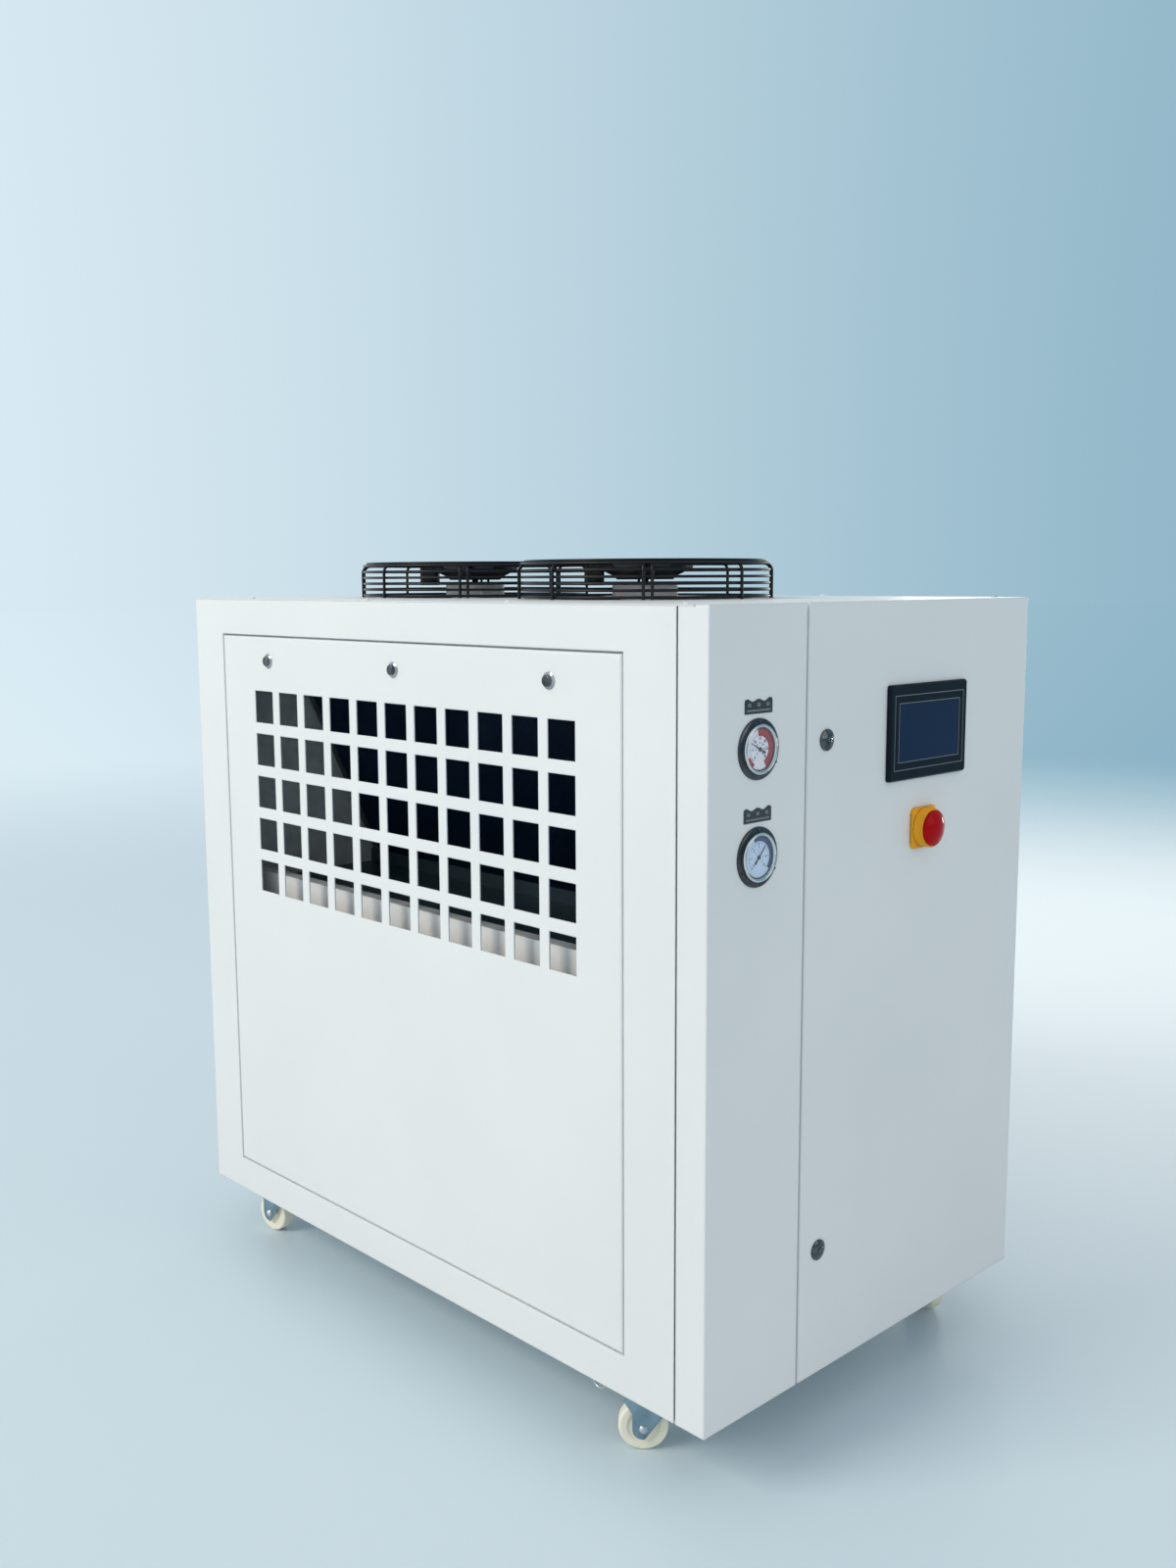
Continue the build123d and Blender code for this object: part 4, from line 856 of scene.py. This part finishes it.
for inset_x, inset_z in line_insets:
    x0, x1 = hmi_low.x + inset_x, hmi_high.x - inset_x
    z0, z1 = hmi_low.z + inset_z, hmi_high.z - inset_z
    for low_x, high_x, low_z, high_z in (
            (x0, x1, z0, z0 + line_width), (x0, x1, z1 - line_width, z1),
            (x0, x0 + line_width, z0 + line_width, z1 - line_width),
            (x1 - line_width, x1, z0 + line_width, z1 - line_width)):
        lines.append(cuboid("hmi_line", (low_x, hmi_low.y - line_rise, low_z),
                            (high_x, hmi_low.y + line_rise, high_z), hmi_line))
hmi_lines = join("hmi_lines", lines)
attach(hmi_lines, "door")


# The main switch is a yellow moulded plate and collar with a domed red knob, and a thin dark ring
# round the collar's foot painted as the shade in its seam. The two door locks are dark chrome: a
# domed housing round a core with a slot.
# The dark ring round the collar's foot is painted shade in the seam between collar and plate.
seam_shade_profile = ((0.0304, 0.0049), (0.0304, 0.0052), (0.0312, 0.0052), (0.0312, 0.0049))
switch_yellow = finish("switch_yellow", (0.95, 0.42, 0.022), (0.90, 0.37, 0.018), (0.32, 0.42), patch=10.0,
                       edge=0.0008, Specular_IOR_Level=0.14)
knob_red = finish("knob_red", (0.46, 0.002, 0.006), (0.40, 0.001, 0.005), (0.07, 0.11), patch=10.0,
                  depth=0.0, edge=0.0008, Specular_IOR_Level=0.09)
lock_chrome = finish("lock_chrome", (0.17, 0.175, 0.18), (0.07, 0.075, 0.08), (0.06, 0.12), patch=60.0,
                     depth=0.0, edge=0.0006, Metallic=1.0)
seam_painted_shade = finish("switch_seam", (0.16, 0.065, 0.006), (0.12, 0.05, 0.005), (0.5, 0.6), edge=0.0)
switch_low, switch_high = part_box("switch_body")
collar_seam = turned("collar_seam", seam_shade_profile, seam_painted_shade)
switch_middle = (switch_low + switch_high) / 2
collar_seam.data.transform(on_front(switch_middle.x, switch_middle.z))
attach(collar_seam, "door")
smoothed("switch_body", "door", [switch_yellow])
smoothed("switch_knob", "switch_knob", [knob_red])
smoothed("lock_barrels", "door", [lock_chrome])
for place in ("upper", "lower"):
    smoothed(f"lock_cam_{place}", f"{place}_lock_cam", [lock_chrome])


# Three key latches hold each intake panel along its top edge: a bright domed flange round a short
# dark barrel with a key slot, which stands out further than the flange.
latch_reach, flange_reach = 0.007, 0.0032
latch_bright = finish("latch_bright", (0.46, 0.47, 0.48), (0.30, 0.31, 0.32), (0.06, 0.12), patch=60.0,
                      depth=0.0, edge=0.0004, Metallic=1.0)
latch_low, latch_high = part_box("panel_latches")
barrel_left = latch_low.x + latch_reach - flange_reach
barrel_right = latch_high.x - latch_reach + flange_reach
smoothed("panel_latches", "cabinet", [lock_chrome, latch_bright],
         lambda spot: 0 if spot.x < barrel_left or spot.x > barrel_right else 1)


# Domed screws hold the top sheet along its two long edges, painted over except the bright one at
# the front right corner.
screw_profile = ((0, 0.0030), (0.0022, 0.0028), (0.0042, 0.0018), (0.0052, 0.0004), (0.0052, 0.0), (0, 0.0))
screw_inset, screw_ends, screw_steps = 0.015, (0.054, 0.180), 4
top_low, top_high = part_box("top_panel")
first_y = top_high.y - 2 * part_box("left_side_frame")[1].y + screw_ends[0]
last_y = top_high.y - screw_ends[1]
stock = []
for x in (top_low.x + screw_inset, top_high.x - screw_inset):
    for k in range(screw_steps):
        bright = x > 0 and k == 0
        screw = turned("sheet_screw", screw_profile, bolt_zinc if bright else powder_coat, sides=20)
        y = first_y + (last_y - first_y) * k / (screw_steps - 1)
        screw.data.transform(Matrix.Translation((x, y, top_high.z)))
        stock.append(screw)
screws = join("top_screws", stock)
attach(screws, "cabinet")


# Four swivel castors: pressed forks and plates in blue zinc, moulded wheels of cream nylon, and
# each plate held up by four bolts. The heads of each axle, outside the fork's legs, are bright.
plate_width, plate_length, plate_thickness = 0.064, 0.090, 0.0035
castor_bolt_inset, castor_bolt_head, castor_washer = 0.011, (0.0065, 0.0035), (0.0082, 0.001)
fork_half_width, axle_head_reach = 0.0201, 0.0075
castor_zinc = finish("castor_zinc", (0.30, 0.41, 0.48), (0.19, 0.29, 0.36), (0.22, 0.38), patch=34.0,
                     grain=300.0, depth=0.00004, edge=0.0006, Metallic=0.9)
cream_nylon = finish("cream_nylon", (0.93, 0.89, 0.74), (0.88, 0.83, 0.66), (0.38, 0.52), patch=22.0,
                     grain=400.0, depth=0.00005, edge=0.0010, Subsurface_Weight=0.08)
plates_low, plates_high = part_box("castor_plates")
plate_x = {"left": plates_low.x + plate_width / 2, "right": plates_high.x - plate_width / 2}
plate_y = {"front": plates_low.y + plate_length / 2, "rear": plates_high.y - plate_length / 2}
for end, side in product(plate_y, plate_x):
    wheel_low, wheel_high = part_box(f"castor_wheel_{end}_{side}")
    axle = (wheel_low + wheel_high) / 2
    trail = axle - Vector((plate_x[side], plate_y[end], axle.z))
    across = trail.cross(Vector((0, 0, 1))).normalized()

    def axle_head(spot):
        """1 for a face on one of the axle's two heads, and 0 for one on the fork."""
        along = (spot - axle).dot(across)
        off_axis = (spot - axle - across * along).length
        return 1 if abs(along) > fork_half_width and off_axis < axle_head_reach else 0

    smoothed(f"castor_fork_{end}_{side}", f"castor_{end}_{side}", [castor_zinc, bolt_zinc],
             axle_head)
    smoothed(f"castor_wheel_{end}_{side}", f"wheel_{end}_{side}", [cream_nylon])
smoothed("castor_plates", "cabinet", [castor_zinc])
bolt_aside = plate_width / 2 - castor_bolt_inset
bolt_along = plate_length / 2 - castor_bolt_inset
spots = [(x + way_x * bolt_aside, y + way_y * bolt_along, plates_high.z - plate_thickness)
         for x, y, way_x, way_y in product(plate_x.values(), plate_y.values(), (-1, 1), (-1, 1))]
castor_bolts = bolts_on("castor_bolts", spots, (0, 0, -1), castor_bolt_head, castor_washer, bolt_zinc)
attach(castor_bolts, "cabinet")


# A small hoop of bright wire hangs under the cabinet's lower edge behind the front left castor.
hoop_x, hoop_y, hoop_span, hoop_wire = -0.392, -0.439, 0.027, 0.0016
hoop = tube_bend("drain_hoop", (0, 0, 0), 1, hoop_span, hoop_wire, bolt_zinc, steps=16)
hoop.data.transform(Matrix.Translation((hoop_x, hoop_y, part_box("base_plate")[0].z))
                    @ Matrix.Rotation(radians(-90), 4, "X"))
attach(hoop, "cabinet")


# Steel hinges with a pin carry the door on its right-hand edge. The water connections on the rear
# panel are turned brass stubs between two nuts.
hinge_zinc = finish("hinge_zinc", (0.60, 0.62, 0.64), (0.50, 0.52, 0.54), (0.28, 0.42), patch=30.0,
                    edge=0.0005, Metallic=0.85)
port_brass = finish("port_brass", (0.66, 0.50, 0.22), (0.54, 0.40, 0.17), (0.22, 0.38), patch=30.0,
                    grain=500.0, edge=0.0006, Metallic=1.0)
smoothed("door_hinge_leaves", "door", [hinge_zinc])
smoothed("frame_hinge_leaves", "cabinet", [hinge_zinc])
for place in ("inlet", "outlet", "drain"):
    smoothed(f"water_{place}", "cabinet", [port_brass])
